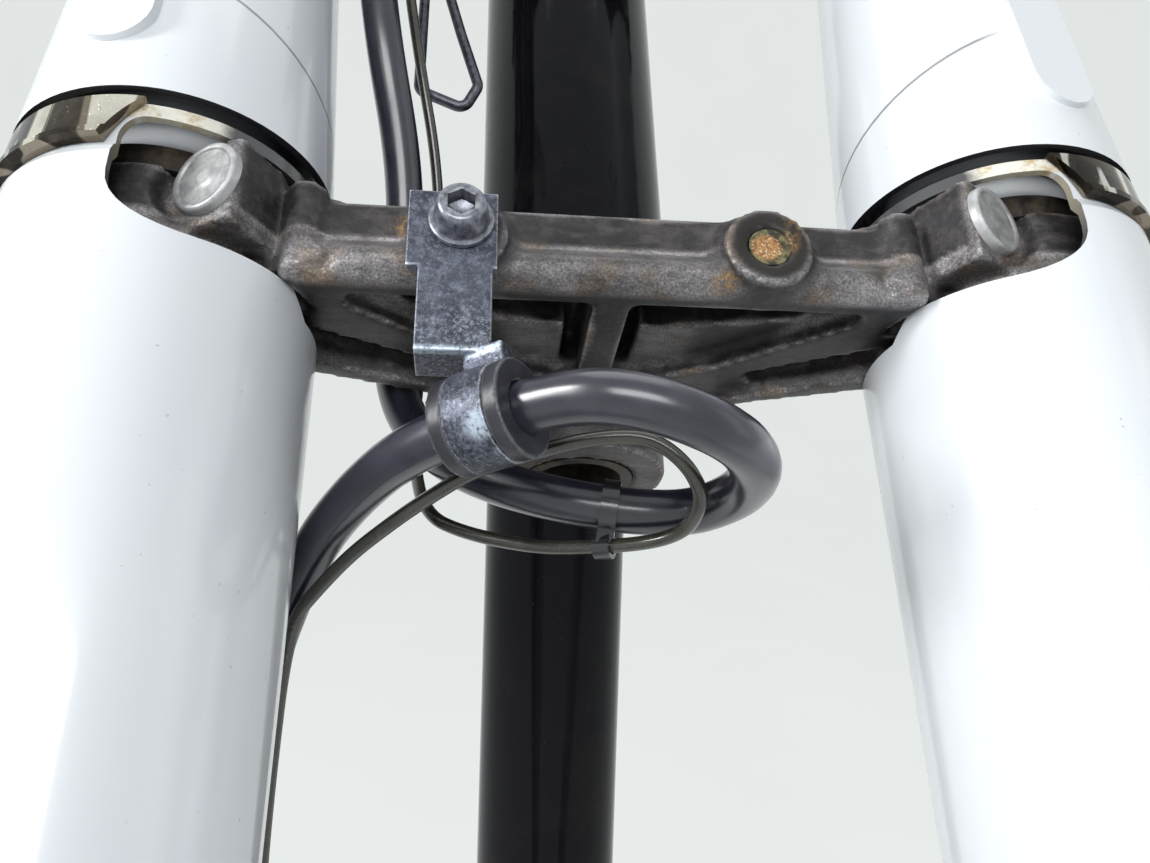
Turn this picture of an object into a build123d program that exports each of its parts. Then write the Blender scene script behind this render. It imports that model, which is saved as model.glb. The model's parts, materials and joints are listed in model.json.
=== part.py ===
from build123d import *
import os
from math import asin, cos, degrees, radians, sin, sqrt, tan

# A covered telescopic motorcycle fork in its steering head, at its real size in millimetres.
# The vehicle's frame: forward is -Y, the rider's right is -X, up is +Z, and the origin is the centre
# of the backbone tube's open rear end.
# The fork is drawn upright in its own frame: Z runs up the steering axis, Z = 0 is the top face of the
# lower yoke's front beam, and forward is -Y. place_fork() leans it back by the rake.

# Steering geometry
RAKE = 27.0
LEG_SPACING = 186.0
LEG_OFFSET = 51.0
STEERING_LOCK = 35.0

# Fits between pieces
FIT = 0.05
SOFT_GAP = 0.3
BEARING_GAP = 0.4

# Head tube, backbone and down tube
HEAD_TUBE_R = 26.3
HEAD_TUBE_WALL = 5.5
HEAD_TUBE_BOTTOM = 10.0
HEAD_TUBE_LENGTH = 150.0
BACKBONE_R = 24.0
BACKBONE_WALL = 2.5
BACKBONE_LENGTH = 130.0
BACKBONE_BELOW_TOP = 42.0
DOWN_TUBE_R = 22.5
DOWN_TUBE_WALL = 2.5
DOWN_TUBE_MEETS = 107.0
DOWN_TUBE_END = 330.0
SLEEVE_SEAT = 0.8
SLEEVE_SEAT_DEPTH = 40.0
GUSSET_THICKNESS = 3.0
GUSSET_REACH = 84.0
STOP_THICKNESS = 6.0
STOP_REACH = 34.0
STOP_GAP = 1.0
STOP_POST_R = 4.0
STOP_POST_REACH = 35.0
STOP_POST_TOP = 14.0

# Bearings, stem and its nuts
STEM_R = 14.0
STEM_WALL = 3.0
CUP_FLANGE_R = 28.2
CUP_FLANGE = 5.0
CUP_BORE_R = 16.5
CONE_R = 21.0
ADJUSTER_R = 21.0
ADJUSTER_HEIGHT = 8.0
TOP_NUT_ACROSS = 32.0
TOP_NUT_HEIGHT = 11.0

# Lower yoke
BEAM_HEIGHT = 19.0
BEAM_FRONT = 70.0
BEAM_LIP = 3.5
BEAM_LIP_DEPTH = 11.0
BEAM_LIP_ROUND = 5.5
BEAM_WALL = 5.0
TOP_PLATE = 7.0
SPINE_HALF = 3.8
WEB_BOTTOM = -15.0
ARM_INSET = 31.0
ARM_REAR = 36.5
WAIST_X = 38.0
WAIST_Y = 27.5
TAIL_X = 17.0
TAIL_Y = 4.0
RING_R = 25.5
RING_TOP = 2.0
RING_BOTTOM = -28.0
SEAT_R = 30.5
SEAT = 3.0
STEM_BOSS_R = 22.5
STEM_BOSS_TOP = 1.0
BEAM_RISE = 6.0
BEAM_RISE_FROM = 44.0
BRACKET_BOSS_R = 9.1
BRACKET_BOSS_SPACING = 61.4
BRACKET_BOSS_Z = -10.2
BRACKET_BOSS_FACE = 76.0
BRACKET_BOSS_FLARE = 3.0
BRACKET_HOLE_R = 4.3
BRACKET_HOLE_DEPTH = 16.0

# Split clamps and their pinch bolts
SLIT = 2.0
SLIT_CUT = 50.0
SLIT_ANGLE = 60.0
PINCH_REACH = 25.3
PINCH_Z = -3.0
PINCH_BOSS_R = 6.0
LUG = 14.8
LUG_START = 18.0
LUG_END = 31.5
LUG_TOP = 7.0
LUG_BOTTOM = -12.5
PINCH_BOLT_R = 4.0
PINCH_HEAD_R = 8.7
PINCH_HEAD = 3.2
PINCH_THREAD = 15.0

# Upper yoke
UPPER_YOKE_ABOVE_ADJUSTER = 6.6
UPPER_YOKE_HEIGHT = 22.0
UPPER_PLATE = 12.0
UPPER_RING_R = 25.0
UPPER_BOSS_R = 25.0
UPPER_SLIT_ANGLE = 180.0

# Handlebar clamps
BAR_R = 11.1
BAR_CLAMP_SPACING = 92.0
BAR_CLAMP_WIDTH = 20.0
BAR_CLAMP_Y = -30.0
BAR_RISE = 20.0
BAR_BLOCK_HALF = 19.0
BAR_SPLIT = 0.6

# Stanchions and sliders
STANCHION_R = 17.5
STANCHION_WALL = 2.5
STANCHION_PROUD = 2.0
STANCHION_BOTTOM = -330.0
CAP_R = 17.0
CAP_HEIGHT = 9.0
SLIDER_R = 24.5
SLIDER_TOP = -150.0
SLIDER_NECK_R = 28.0
SLIDER_NECK = 30.0
AXLE_Z = -560.0
AXLE_BORE_R = 8.5
AXLE_BOSS_R = 19.0
AXLE_BOSS_WIDTH = 46.0
MUDGUARD_BOSS_R = 8.0
MUDGUARD_BOSS_REACH = 29.5
MUDGUARD_BOSS_ZS = (-300.0, -345.0)
MUDGUARD_HOLE_R = 3.4
MUDGUARD_HOLE_DEPTH = 9.0
CALIPER_LUG_ZS = (-392.0, -472.0)
CALIPER_LUG_R = 11.0
CALIPER_LUG_REACH = 36.0
CALIPER_LUG_THICKNESS = 14.0
CALIPER_HOLE_R = 5.25

# Fork covers
COVER_WALL = 1.6
LOWER_COVER_R = 32.4
LOWER_COVER_BOTTOM = -215.0
SHOULDER_Z = 1.0
SHOULDER_R = 2.6
NECK_R = 30.9
NECK_TOP = 11.0
WINDOW_TOP = 8.1
WINDOW_BOTTOM = -17.6
WINDOW_DEEP = -22.0
WINDOW_FROM = -2.9
WINDOW_TO = 134.9
WINDOW_DROP_FROM = 66.0
WINDOW_DROP_TO = 76.0
WINDOW_LOW_CORNER = (30.9, 11.6)
WINDOW_HIGH_CORNER = (9.2, 5.3)
WINDOW_GAP = 0.8
RING_END_LOW = 4.0
RING_END_HIGH = 7.6
WEDGE_START = 7.0
WEDGE_END = 45.0
RING_OUT_BOTTOM = 34.2
RING_OUT_TOP = 33.0
SKIRT_Z = 13.5
SKIRT_R = 32.8
TAPER_TOP = 112.0
UPPER_COVER_R = 26.5
SLEEVE_R = 20.6
PAD_ANGLE = -12.0
PAD_WIDTH = 15.5
PAD_BOTTOM = 26.0
PAD_TOP = 96.0
PAD_PROUD = 1.4
EAR_BELOW_YOKE = 52.0
EAR_THICKNESS = 4.0
EAR_REACH = 52.0
EAR_R = 12.0
EAR_HOLE_R = 5.0

# Hose bracket, its screw and the rubber spool
BRACKET_X = -31.5
BRACKET_WIDTH = 17.0
BRACKET_TOP_SHIFT = -0.8
BRACKET_NARROW = 13.9
BRACKET_STEP = -20.4
BRACKET_THICKNESS = 2.5
BRACKET_TOP = -3.0
BRACKET_BOTTOM = -38.3
BRACKET_FOOT = 10.5
SCREW_R = 3.0
SCREW_HEAD_R = 5.4
SCREW_FACE_R = 4.3
SCREW_HEAD = 4.8
SCREW_SOCKET_R = 2.9
SCREW_SOCKET_DEPTH = 3.2
WASHER_R = 6.2
WASHER = 1.5
BAND_WIDTH = 8.2
BAND_R = 8.0
BAND_THICKNESS = 1.2
BAND_EARS = 4.0
SPOOL_FLANGE_R = 9.0
SPOOL_FLANGE = 3.1
SPOOL_ALONG = 0.6

# Brake hose and thin cable: their routes in the fork's frame
HOSE_R = 4.75
CABLE_R = 1.45
HOSE_ROUTE = [
    (-77.0, -10.0, -400.0), (-78.0, -11.0, -345.0), (-77.9, -10.5, -290.0), (-77.0, -9.0, -235.0),
    (-76.5, -8.2, -180.0), (-75.5, -8.0, -128.0), (-72.5, -13.0, -86.0), (-61.8, -29.0, -60.9),
    (-48.5, -51.5, -53.5), (-35.8, -69.6, -51.6), (-14.6, -84.6, -50.4), (-3.2, -91.8, -52.9),
    (13.5, -89.8, -57.3), (23.6, -76.6, -58.2), (24.4, -59.0, -57.6), (14.0, -46.0, -57.4),
    (-12.0, -43.0, -52.8), (-33.0, -33.0, -41.5), (-44.0, -24.0, -25.5), (-48.2, -20.0, -7.0),
    (-46.2, -21.0, 16.0), (-46.6, -30.0, 42.0), (-53.5, -46.0, 73.0), (-57.5, -51.0, 105.0),
    (-58.5, -50.0, 137.0), (-58.5, -48.0, 166.0),
]
CABLE_ROUTE = [
    (-66.0, -4.0, -402.0), (-69.0, -3.0, -345.0), (-69.6, -2.4, -290.0), (-69.0, -1.0, -235.0),
    (-68.6, -1.7, -180.0), (-68.5, -4.5, -132.0), (-67.5, -13.5, -108.0), (-64.6, -26.3, -75.2),
    (-57.4, -34.4, -69.2), (-50.9, -40.7, -64.3), (-43.0, -47.5, -60.2), (-37.3, -51.5, -57.3),
    (-27.1, -59.6, -53.4), (-16.3, -63.1, -51.1),
    (-5.2, -66.7, -49.3), (5.7, -67.6, -49.0), (12.9, -67.5, -55.0), (16.1, -63.6, -60.6), (13.2, -52.2, -64.5),
    (-7.5, -40.8, -62.8), (-16.7, -37.4, -61.0), (-28.8, -34.9, -57.7), (-37.3, -32.5, -52.9),
    (-41.0, -20.0, -36.0), (-42.0, -13.5, -17.0), (-40.5, -11.3, 3.0), (-37.8, -12.5, 26.0),
    (-39.0, -20.0, 52.0), (-45.0, -31.5, 80.0), (-50.0, -37.5, 110.0), (-50.0, -37.0, 138.0),
    (-48.5, -35.0, 166.0),
]
FERRULE_WALL = 1.4
SPOOL_RUN = 9
TIE_RUNS = (15, 18)
CLIP_RUNS = (1, 1)

# Wire guide
GUIDE_R = 1.5
GUIDE_BEND = 3.0
GUIDE_BOTTOM = 70.5

# Worked out from the sizes above
LEG_X = LEG_SPACING / 2
HEAD_TUBE_TOP = HEAD_TUBE_BOTTOM + HEAD_TUBE_LENGTH
BACKBONE_MEETS = HEAD_TUBE_TOP - BACKBONE_BELOW_TOP
UPPER_YOKE_BOTTOM = HEAD_TUBE_TOP + CUP_FLANGE + BEARING_GAP + ADJUSTER_HEIGHT + UPPER_YOKE_ABOVE_ADJUSTER
UPPER_YOKE_TOP = UPPER_YOKE_BOTTOM + UPPER_YOKE_HEIGHT
PLATE_BOTTOM = UPPER_YOKE_TOP - UPPER_PLATE
STANCHION_TOP = UPPER_YOKE_TOP + STANCHION_PROUD
EAR_Z = UPPER_YOKE_BOTTOM - EAR_BELOW_YOKE
STEM_BOTTOM = RING_BOTTOM - SEAT
STEM_TOP = UPPER_YOKE_TOP + TOP_NUT_HEIGHT - 4
FORK_ORIGIN = (0, -BACKBONE_LENGTH - BACKBONE_MEETS * sin(radians(RAKE)), -BACKBONE_MEETS * cos(radians(RAKE)))
SIDES = {"right": -1, "left": 1}
BOTTOM_ALIGN = (Align.CENTER, Align.CENTER, Align.MIN)


def place_fork(shape):
    """Move a shape drawn in the fork's upright frame to its place on the vehicle."""
    return Pos(*FORK_ORIGIN) * Rot(X=-RAKE) * shape


def disc(radius, low, high, at=(0, 0)):
    """A cylinder about a line parallel to the steering axis."""
    return Pos(at[0], at[1], low) * Cylinder(radius, high - low, align=BOTTOM_ALIGN)


def tube(outer, inner, low, high, at=(0, 0)):
    return disc(outer, low, high, at) - disc(inner, low - 1, high + 1, at)


def rod(radius, start, end):
    """A cylinder from one point to another."""
    axis = Vector(*end) - Vector(*start)
    plane = Plane(origin=start, z_dir=axis.normalized())
    return plane * Cylinder(radius, axis.length, align=BOTTOM_ALIGN)


def leg(side):
    """The centre line of one fork leg, as x and y."""
    return (SIDES[side] * LEG_X, -LEG_OFFSET)


def from_front(side, angle):
    """The direction at an angle round a leg, from the front towards the fork's middle."""
    turn = radians(angle)
    return (-SIDES[side] * sin(turn), -cos(turn))


def spun(profile, at):
    """A ring spun from a closed outline of radius and height."""
    face = make_face(Polyline(*[(r, 0, z) for r, z in profile], close=True))
    return Pos(at[0], at[1], 0) * revolve(face, Axis.Z, 360)


def prism(points, low, high):
    """An upright prism over a closed outline in x and y."""
    face = make_face(Polyline(*[(x, y, low) for x, y in points], close=True))
    return extrude(face, amount=high - low, dir=(0, 0, 1))


def rounded_prism(points, corner, low, high):
    face = make_face(Polyline(*[(x, y) for x, y in points], close=True))
    face = fillet(face.vertices(), corner)
    return Pos(0, 0, low) * extrude(face, amount=high - low, dir=(0, 0, 1))


def both_sides(points):
    """The outline and its mirror image across the fork's middle."""
    return points, [(-x, y) for x, y in points]


def head_tube():
    """The steering head, with the stop plate that the yoke's posts come against."""
    stop = Pos(0, 0, HEAD_TUBE_BOTTOM) * Box(2 * DOWN_TUBE_R, STOP_REACH, STOP_THICKNESS,
                                           align=(Align.CENTER, Align.MIN, Align.MIN))
    outer = disc(HEAD_TUBE_R, HEAD_TUBE_BOTTOM, HEAD_TUBE_TOP) + stop
    return outer - disc(HEAD_TUBE_R - HEAD_TUBE_WALL, 0, HEAD_TUBE_TOP + 1)


def stop_half_angle():
    return degrees(asin((DOWN_TUBE_R + STOP_GAP + STOP_POST_R) / STOP_POST_REACH))


def frame_tubes():
    """The backbone and the down tube, coped to the head tube, each bored wider at its open end for a sleeve."""
    head = place_fork(disc(HEAD_TUBE_R, HEAD_TUBE_BOTTOM - 30, HEAD_TUBE_TOP + 30))
    front = -BACKBONE_LENGTH
    backbone = rod(BACKBONE_R, (0, front, 0), (0, 0, 0))
    bore = rod(BACKBONE_R - BACKBONE_WALL, (0, front, 0), (0, 1, 0))
    bore += rod(BACKBONE_R - BACKBONE_WALL + SLEEVE_SEAT, (0, -SLEEVE_SEAT_DEPTH, 0), (0, 1, 0))
    meet_y, meet_z = fork_point(0, DOWN_TUBE_MEETS)
    down = rod(DOWN_TUBE_R, (0, meet_y, -DOWN_TUBE_END), (0, meet_y, meet_z))
    down_bore = rod(DOWN_TUBE_R - DOWN_TUBE_WALL, (0, meet_y, -DOWN_TUBE_END - 1), (0, meet_y, meet_z))
    down_bore += rod(DOWN_TUBE_R - DOWN_TUBE_WALL + SLEEVE_SEAT, (0, meet_y, -DOWN_TUBE_END - 1),
                     (0, meet_y, -DOWN_TUBE_END + SLEEVE_SEAT_DEPTH))
    below_head = place_fork(disc(CUP_FLANGE_R + SOFT_GAP, HEAD_TUBE_BOTTOM - 60, HEAD_TUBE_BOTTOM))
    backbone_tube = backbone - bore - head
    down_tube = down - down_bore - place_fork(head_tube()) - head - below_head
    down_tube -= rod(BACKBONE_R, (0, front, 0), (0, 1, 0))
    return keep_rear(backbone_tube), keep_low(down_tube)


def fork_point(y, z):
    """The vehicle's y and z of a point in the fork's middle plane."""
    lean = radians(RAKE)
    return (FORK_ORIGIN[1] + y * cos(lean) + z * sin(lean), FORK_ORIGIN[2] - y * sin(lean) + z * cos(lean))


def keep_rear(shape):
    return max(shape.solids(), key=lambda s: s.center().Y)


def keep_low(shape):
    return min(shape.solids(), key=lambda s: s.center().Z)


def gussets():
    """Two side plates in the corner between backbone and down tube."""
    meet_y, meet_z = fork_point(0, DOWN_TUBE_MEETS)
    corner = (meet_y + DOWN_TUBE_R * 0.5, -BACKBONE_R * 0.5)
    outline = [corner, (corner[0] + GUSSET_REACH, corner[1]), (corner[0], corner[1] - GUSSET_REACH)]
    face = make_face(Polyline(*[(0, y, z) for y, z in outline], close=True))
    plate = extrude(face, amount=GUSSET_THICKNESS / 2, dir=(1, 0, 0), both=True)
    tubes = rod(BACKBONE_R, (0, -BACKBONE_LENGTH, 0), (0, 1, 0)) + rod(
        DOWN_TUBE_R, (0, meet_y, -DOWN_TUBE_END), (0, meet_y, meet_z + 60))
    return keep_rear(plate - tubes - place_fork(disc(HEAD_TUBE_R, HEAD_TUBE_BOTTOM, HEAD_TUBE_TOP)))


def lower_cup():
    low = HEAD_TUBE_BOTTOM - CUP_FLANGE
    return tube(CUP_FLANGE_R, CUP_BORE_R, low, HEAD_TUBE_BOTTOM) + tube(
        HEAD_TUBE_R - HEAD_TUBE_WALL - FIT, CUP_BORE_R, low, HEAD_TUBE_BOTTOM + 10)


def upper_cup():
    high = HEAD_TUBE_TOP + CUP_FLANGE
    return tube(CUP_FLANGE_R, CUP_BORE_R, HEAD_TUBE_TOP, high) + tube(
        HEAD_TUBE_R - HEAD_TUBE_WALL - FIT, CUP_BORE_R, HEAD_TUBE_TOP - 10, high)


def lower_cone():
    return tube(CONE_R, STEM_R + FIT, STEM_BOSS_TOP, HEAD_TUBE_BOTTOM - CUP_FLANGE - BEARING_GAP)


def stem():
    return tube(STEM_R, STEM_R - STEM_WALL, STEM_BOTTOM, STEM_TOP)


def adjuster():
    low = HEAD_TUBE_TOP + CUP_FLANGE + BEARING_GAP
    return tube(ADJUSTER_R, STEM_R + FIT, low, low + ADJUSTER_HEIGHT)


def top_nut():
    low = UPPER_YOKE_TOP
    hexagon = extrude(RegularPolygon(TOP_NUT_ACROSS / 2, 6, major_radius=False), amount=TOP_NUT_HEIGHT)
    crown = hexagon & spun([(0, 0), (TOP_NUT_ACROSS / 2 - 0.5, 0), (TOP_NUT_ACROSS / 2 + 2.2, 2.5),
                            (TOP_NUT_ACROSS / 2 + 2.2, TOP_NUT_HEIGHT - 2.5),
                            (TOP_NUT_ACROSS / 2 - 0.5, TOP_NUT_HEIGHT), (0, TOP_NUT_HEIGHT)], (0, 0))
    return Pos(0, 0, low) * crown - disc(STEM_R + FIT, low - 1, low + TOP_NUT_HEIGHT - 3)


def clamp_frame(side, angle, reach, z):
    """A plane on a clamp's slit: x out along the slit, z across it towards the bolt's head."""
    out = from_front(side, angle)
    across = (-out[1] * SIDES[side], out[0] * SIDES[side])
    at = leg(side)
    origin = (at[0] + out[0] * reach, at[1] + out[1] * reach, z)
    return Plane(origin=origin, x_dir=(out[0], out[1], 0), z_dir=(across[0], across[1], 0))


def lower_yoke():
    """The cast lower yoke: rings, lipped beam, bosses, lugs, and the pockets of its underside."""
    half = LEG_X - ARM_INSET
    left = [(half, -BEAM_FRONT), (LEG_X - 18, -LEG_OFFSET - 14), (LEG_X - 18, -LEG_OFFSET + 14), (half, -ARM_REAR),
            (WAIST_X, -WAIST_Y), (TAIL_X, -TAIL_Y)]
    body = prism(left + [(-x, y) for x, y in reversed(left)], -BEAM_HEIGHT, 0)
    wall_back = BEAM_FRONT - BEAM_WALL
    lip = BEAM_FRONT + BEAM_LIP
    profile = [(-wall_back, 0), (-BEAM_FRONT, 0), (-BEAM_FRONT, -BEAM_LIP_DEPTH + BEAM_LIP / 2)]
    for step in range(7):
        turn = radians(15 * step)
        profile.append((-lip + BEAM_LIP_ROUND * (1 - cos(turn)), -BEAM_HEIGHT + BEAM_LIP_ROUND * (1 - sin(turn))))
    profile.append((-wall_back, -BEAM_HEIGHT))
    face = make_face(Polyline(*[(0, y, z) for y, z in profile], close=True))
    body += extrude(face, amount=half - 1, dir=(1, 0, 0), both=True)
    body += beam_rise(half)

    floor = -TOP_PLATE
    web = [(SPINE_HALF, -wall_back), (half - 4, -wall_back), (0.42 * half, -40), (SPINE_HALF + 3, -32)]
    channel = [(SPINE_HALF, -wall_back), (0.6 * half, -wall_back), (0.74 * half, -wall_back + 8), (13, -51),
               (SPINE_HALF, -51)]
    strip = [(SPINE_HALF, -wall_back + 8), (SPINE_HALF + 4.6, -wall_back + 8), (SPINE_HALF + 4, -34), (SPINE_HALF, -34)]
    slot = [(half + 2, -ARM_REAR - 16), (half + 2, -ARM_REAR - 7), (WAIST_X, -WAIST_Y - 5.3), (0.56 * half, -38)]
    for outline, corner, roof in ((web, 2.5, WEB_BOTTOM), (channel, 2.5, floor), (strip, 1.6, floor), (slot, 2, floor)):
        for pocket in both_sides(outline):
            body -= rounded_prism(pocket, corner, -BEAM_HEIGHT - 1, roof)
    body += disc(STEM_BOSS_R, STEM_BOTTOM, STEM_BOSS_TOP)

    for side in SIDES:
        at = leg(side)
        body += disc(RING_R, RING_BOTTOM, RING_TOP, at)
        body += disc(SEAT_R, STEM_BOTTOM, RING_BOTTOM, at)
        bolt = clamp_frame(side, SLIT_ANGLE, PINCH_REACH, PINCH_Z)
        lug = clamp_frame(side, SLIT_ANGLE, (LUG_START + LUG_END) / 2, (LUG_TOP + LUG_BOTTOM) / 2)
        body += lug * Box(LUG_END - LUG_START, LUG_TOP - LUG_BOTTOM, 2 * LUG)
        body += bolt * Pos(0, 0, (LUG - PINCH_THREAD) / 2) * Cylinder(PINCH_BOSS_R, LUG + PINCH_THREAD)
        body -= disc(STANCHION_R + FIT, STEM_BOTTOM - 1, RING_TOP + 10, at)
        body -= disc(SLEEVE_R + WINDOW_GAP, RING_TOP, LUG_TOP + 1, at)
        body -= clamp_frame(side, SLIT_ANGLE, SLIT_CUT / 2 + 10, 0) * Box(SLIT_CUT, 2 * SLIT_CUT, SLIT)
        body -= cover_groove(side)
        body -= bolt * Pos(0, 0, LUG) * Cylinder(PINCH_HEAD_R + 1.2, 2 * PINCH_HEAD, align=BOTTOM_ALIGN)
        body -= bolt * Pos(0, 0, (LUG - PINCH_THREAD) / 2) * Cylinder(PINCH_BOLT_R + FIT, LUG + PINCH_THREAD + 20)
        boss_x = SIDES[side] * BRACKET_BOSS_SPACING / 2
        body += rod(BRACKET_BOSS_R, (boss_x, -wall_back, BRACKET_BOSS_Z), (boss_x, -BRACKET_BOSS_FACE, BRACKET_BOSS_Z))
        body += boss_flare(boss_x)
        body -= rod(BRACKET_HOLE_R, (boss_x, -BRACKET_BOSS_FACE + BRACKET_HOLE_DEPTH, BRACKET_BOSS_Z),
                    (boss_x, -BRACKET_BOSS_FACE - 1, BRACKET_BOSS_Z))
        body += stop_post(side)
    body -= disc(STEM_R + FIT, STEM_BOTTOM - 1, STEM_BOSS_TOP + 1)
    return body


def beam_rise(half):
    """The beam's top edge, rising towards the clamp rings at both ends."""
    end = LEG_X - RING_R / 2
    outline = [(BEAM_RISE_FROM, -1), (end, -1), (end, BEAM_RISE), (half, BEAM_RISE), (BEAM_RISE_FROM, 0)]
    rises = []
    for points in both_sides(outline):
        face = make_face(Polyline(*[(x, 0, z) for x, z in points], close=True))
        rises.append(extrude(face, amount=LEG_OFFSET - ARM_REAR, dir=(0, -1, 0)))
    front = (LEG_X - 18, -LEG_OFFSET - 14)
    plan = [(half, -BEAM_FRONT), front, (front[0], -LEG_OFFSET), (BEAM_RISE_FROM, -LEG_OFFSET),
            (BEAM_RISE_FROM, -BEAM_FRONT)]
    keep = [prism(points, -1, BEAM_RISE) for points in both_sides(plan)]
    tall = Pos(0, -LEG_OFFSET, 0)
    return (tall * rises[0] & keep[0]) + (tall * rises[1] & keep[1])


def cover_groove(side):
    """The groove under the yoke's arm for the edge of the lower cover's window."""
    at = leg(side)
    ring = tube(LOWER_COVER_R + WINDOW_GAP, LOWER_COVER_R - COVER_WALL - WINDOW_GAP, -BEAM_HEIGHT - 1,
                WINDOW_BOTTOM + WINDOW_GAP, at)
    low = -BEAM_HEIGHT - 2
    return ring & wedge_round(side, [(40, low), (WINDOW_DROP_TO + 2, low), (WINDOW_DROP_TO + 2, 0), (40, 0)])


def boss_flare(x):
    """The cast flare round a boss where it leaves the beam's front."""
    plane = Plane(origin=(x, -BEAM_FRONT, BRACKET_BOSS_Z), z_dir=(0, -1, 0))
    cone = plane * Cone(BRACKET_BOSS_R + BRACKET_BOSS_FLARE, BRACKET_BOSS_R, 1.5 * BRACKET_BOSS_FLARE,
                        align=BOTTOM_ALIGN)
    reach = 2 * (BRACKET_BOSS_R + BRACKET_BOSS_FLARE)
    return cone & Pos(x, -BEAM_FRONT, -BEAM_HEIGHT) * Box(reach, reach, BEAM_HEIGHT, align=BOTTOM_ALIGN)


def stop_post(side):
    """A post that meets the head tube's stop block at full lock, on an ear of the stem boss."""
    turn = radians(STEERING_LOCK + stop_half_angle())
    x = SIDES[side] * STOP_POST_REACH * sin(turn)
    y = STOP_POST_REACH * cos(turn)
    ear = rounded_ear((x, y), STOP_POST_R + 1, -8, STEM_BOSS_TOP - 1)
    return ear + disc(STOP_POST_R, -8, STOP_POST_TOP, (x, y))


def rounded_ear(at, radius, low, high):
    return disc(radius, low, high, at) + prism_between((0, 0), at, radius, low, high)


def prism_between(start, end, half_width, low, high):
    """An upright plate of a given half width from one point to another."""
    dx = end[0] - start[0]
    dy = end[1] - start[1]
    length = sqrt(dx * dx + dy * dy)
    nx = -dy / length * half_width
    ny = dx / length * half_width
    return prism([(start[0] + nx, start[1] + ny), (end[0] + nx, end[1] + ny), (end[0] - nx, end[1] - ny),
                  (start[0] - nx, start[1] - ny)], low, high)


def pinch_bolt(frame):
    """A pinch bolt with a plain round head on a wider flange, its seat at z = LUG on the clamp's plane."""
    shank = Pos(0, 0, -PINCH_THREAD) * Cylinder(PINCH_BOLT_R, PINCH_THREAD + LUG, align=BOTTOM_ALIGN)
    flange = Pos(0, 0, LUG) * Cylinder(PINCH_HEAD_R, 2.0, align=BOTTOM_ALIGN)
    head = Pos(0, 0, LUG) * Cylinder(PINCH_HEAD_R - 1.2, PINCH_HEAD, align=BOTTOM_ALIGN)
    return frame * (shank + flange + head)


def upper_yoke():
    """The top plate: stem boss, clamp rings slit at the rear, and the handlebar clamps' lower halves."""
    low = UPPER_YOKE_BOTTOM
    high = UPPER_YOKE_TOP
    plate_low = PLATE_BOTTOM
    half = LEG_X - 12
    outline = [(-half, -LEG_OFFSET - 18), (half, -LEG_OFFSET - 18), (half, -LEG_OFFSET + 18), (20, 14), (-20, 14),
               (-half, -LEG_OFFSET + 18)]
    body = rounded_prism(outline, 6, plate_low, high)
    body += disc(UPPER_BOSS_R, low, high)
    for side in SIDES:
        at = leg(side)
        body += disc(UPPER_RING_R, low, high, at)
        bolt = clamp_frame(side, UPPER_SLIT_ANGLE, PINCH_REACH, low + UPPER_YOKE_HEIGHT / 2)
        body += bolt * Pos(0, 0, 0) * Cylinder(PINCH_BOSS_R, 2 * LUG)
        body += clamp_frame(side, UPPER_SLIT_ANGLE, (LUG_START + LUG_END) / 2, low + UPPER_YOKE_HEIGHT / 2) * Box(
            LUG_END - LUG_START, UPPER_YOKE_HEIGHT - 4, 2 * LUG)
        body -= disc(STANCHION_R + FIT, low - 1, high + 1, at)
        body -= clamp_frame(side, UPPER_SLIT_ANGLE, SLIT_CUT / 2 + 10, low) * Box(SLIT_CUT, 2 * SLIT_CUT, SLIT)
        body -= bolt * Cylinder(PINCH_BOLT_R + FIT, 60)
        body -= bolt * Pos(0, 0, LUG) * Cylinder(PINCH_HEAD_R + 1.2, 2 * PINCH_HEAD, align=BOTTOM_ALIGN)
        x = SIDES[side] * BAR_CLAMP_SPACING / 2
        body += Pos(x, BAR_CLAMP_Y, high) * Box(
            BAR_CLAMP_WIDTH, 2 * BAR_BLOCK_HALF, BAR_RISE - BAR_SPLIT / 2, align=BOTTOM_ALIGN)
        body += disc(12, plate_low, high, (x, BAR_CLAMP_Y))
        body -= rod(BAR_R, (x - 30, BAR_CLAMP_Y, high + BAR_RISE), (x + 30, BAR_CLAMP_Y, high + BAR_RISE))
    body -= disc(STEM_R + FIT, low - 1, high + 1)
    return body


def bar_caps():
    """The two handlebar clamp caps, arched over the bar, with their screw holes."""
    high = UPPER_YOKE_TOP + BAR_RISE
    caps = []
    for side in SIDES:
        x = SIDES[side] * BAR_CLAMP_SPACING / 2
        arch = rod(BAR_R + 6, (x - BAR_CLAMP_WIDTH / 2, BAR_CLAMP_Y, high), (x + BAR_CLAMP_WIDTH / 2, BAR_CLAMP_Y, high))
        feet = Pos(x, BAR_CLAMP_Y, high) * Box(BAR_CLAMP_WIDTH, 2 * BAR_BLOCK_HALF, 7 + BAR_SPLIT, align=BOTTOM_ALIGN)
        cap = (arch + feet) - rod(BAR_R, (x - 30, BAR_CLAMP_Y, high), (x + 30, BAR_CLAMP_Y, high))
        cap -= Pos(x, BAR_CLAMP_Y, high + BAR_SPLIT / 2 - 40) * Box(60, 80, 40, align=BOTTOM_ALIGN)
        caps.append(cap)
    return caps


def stanchion(side):
    return tube(STANCHION_R, STANCHION_R - STANCHION_WALL, STANCHION_BOTTOM, STANCHION_TOP, leg(side))


def fork_cap(side):
    at = leg(side)
    return spun([(0, STANCHION_TOP - 8), (STANCHION_R - STANCHION_WALL - FIT, STANCHION_TOP - 8),
                 (STANCHION_R - STANCHION_WALL - FIT, STANCHION_TOP), (CAP_R, STANCHION_TOP),
                 (CAP_R, STANCHION_TOP + CAP_HEIGHT - 3), (CAP_R - 3, STANCHION_TOP + CAP_HEIGHT),
                 (0, STANCHION_TOP + CAP_HEIGHT)], at)


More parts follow.
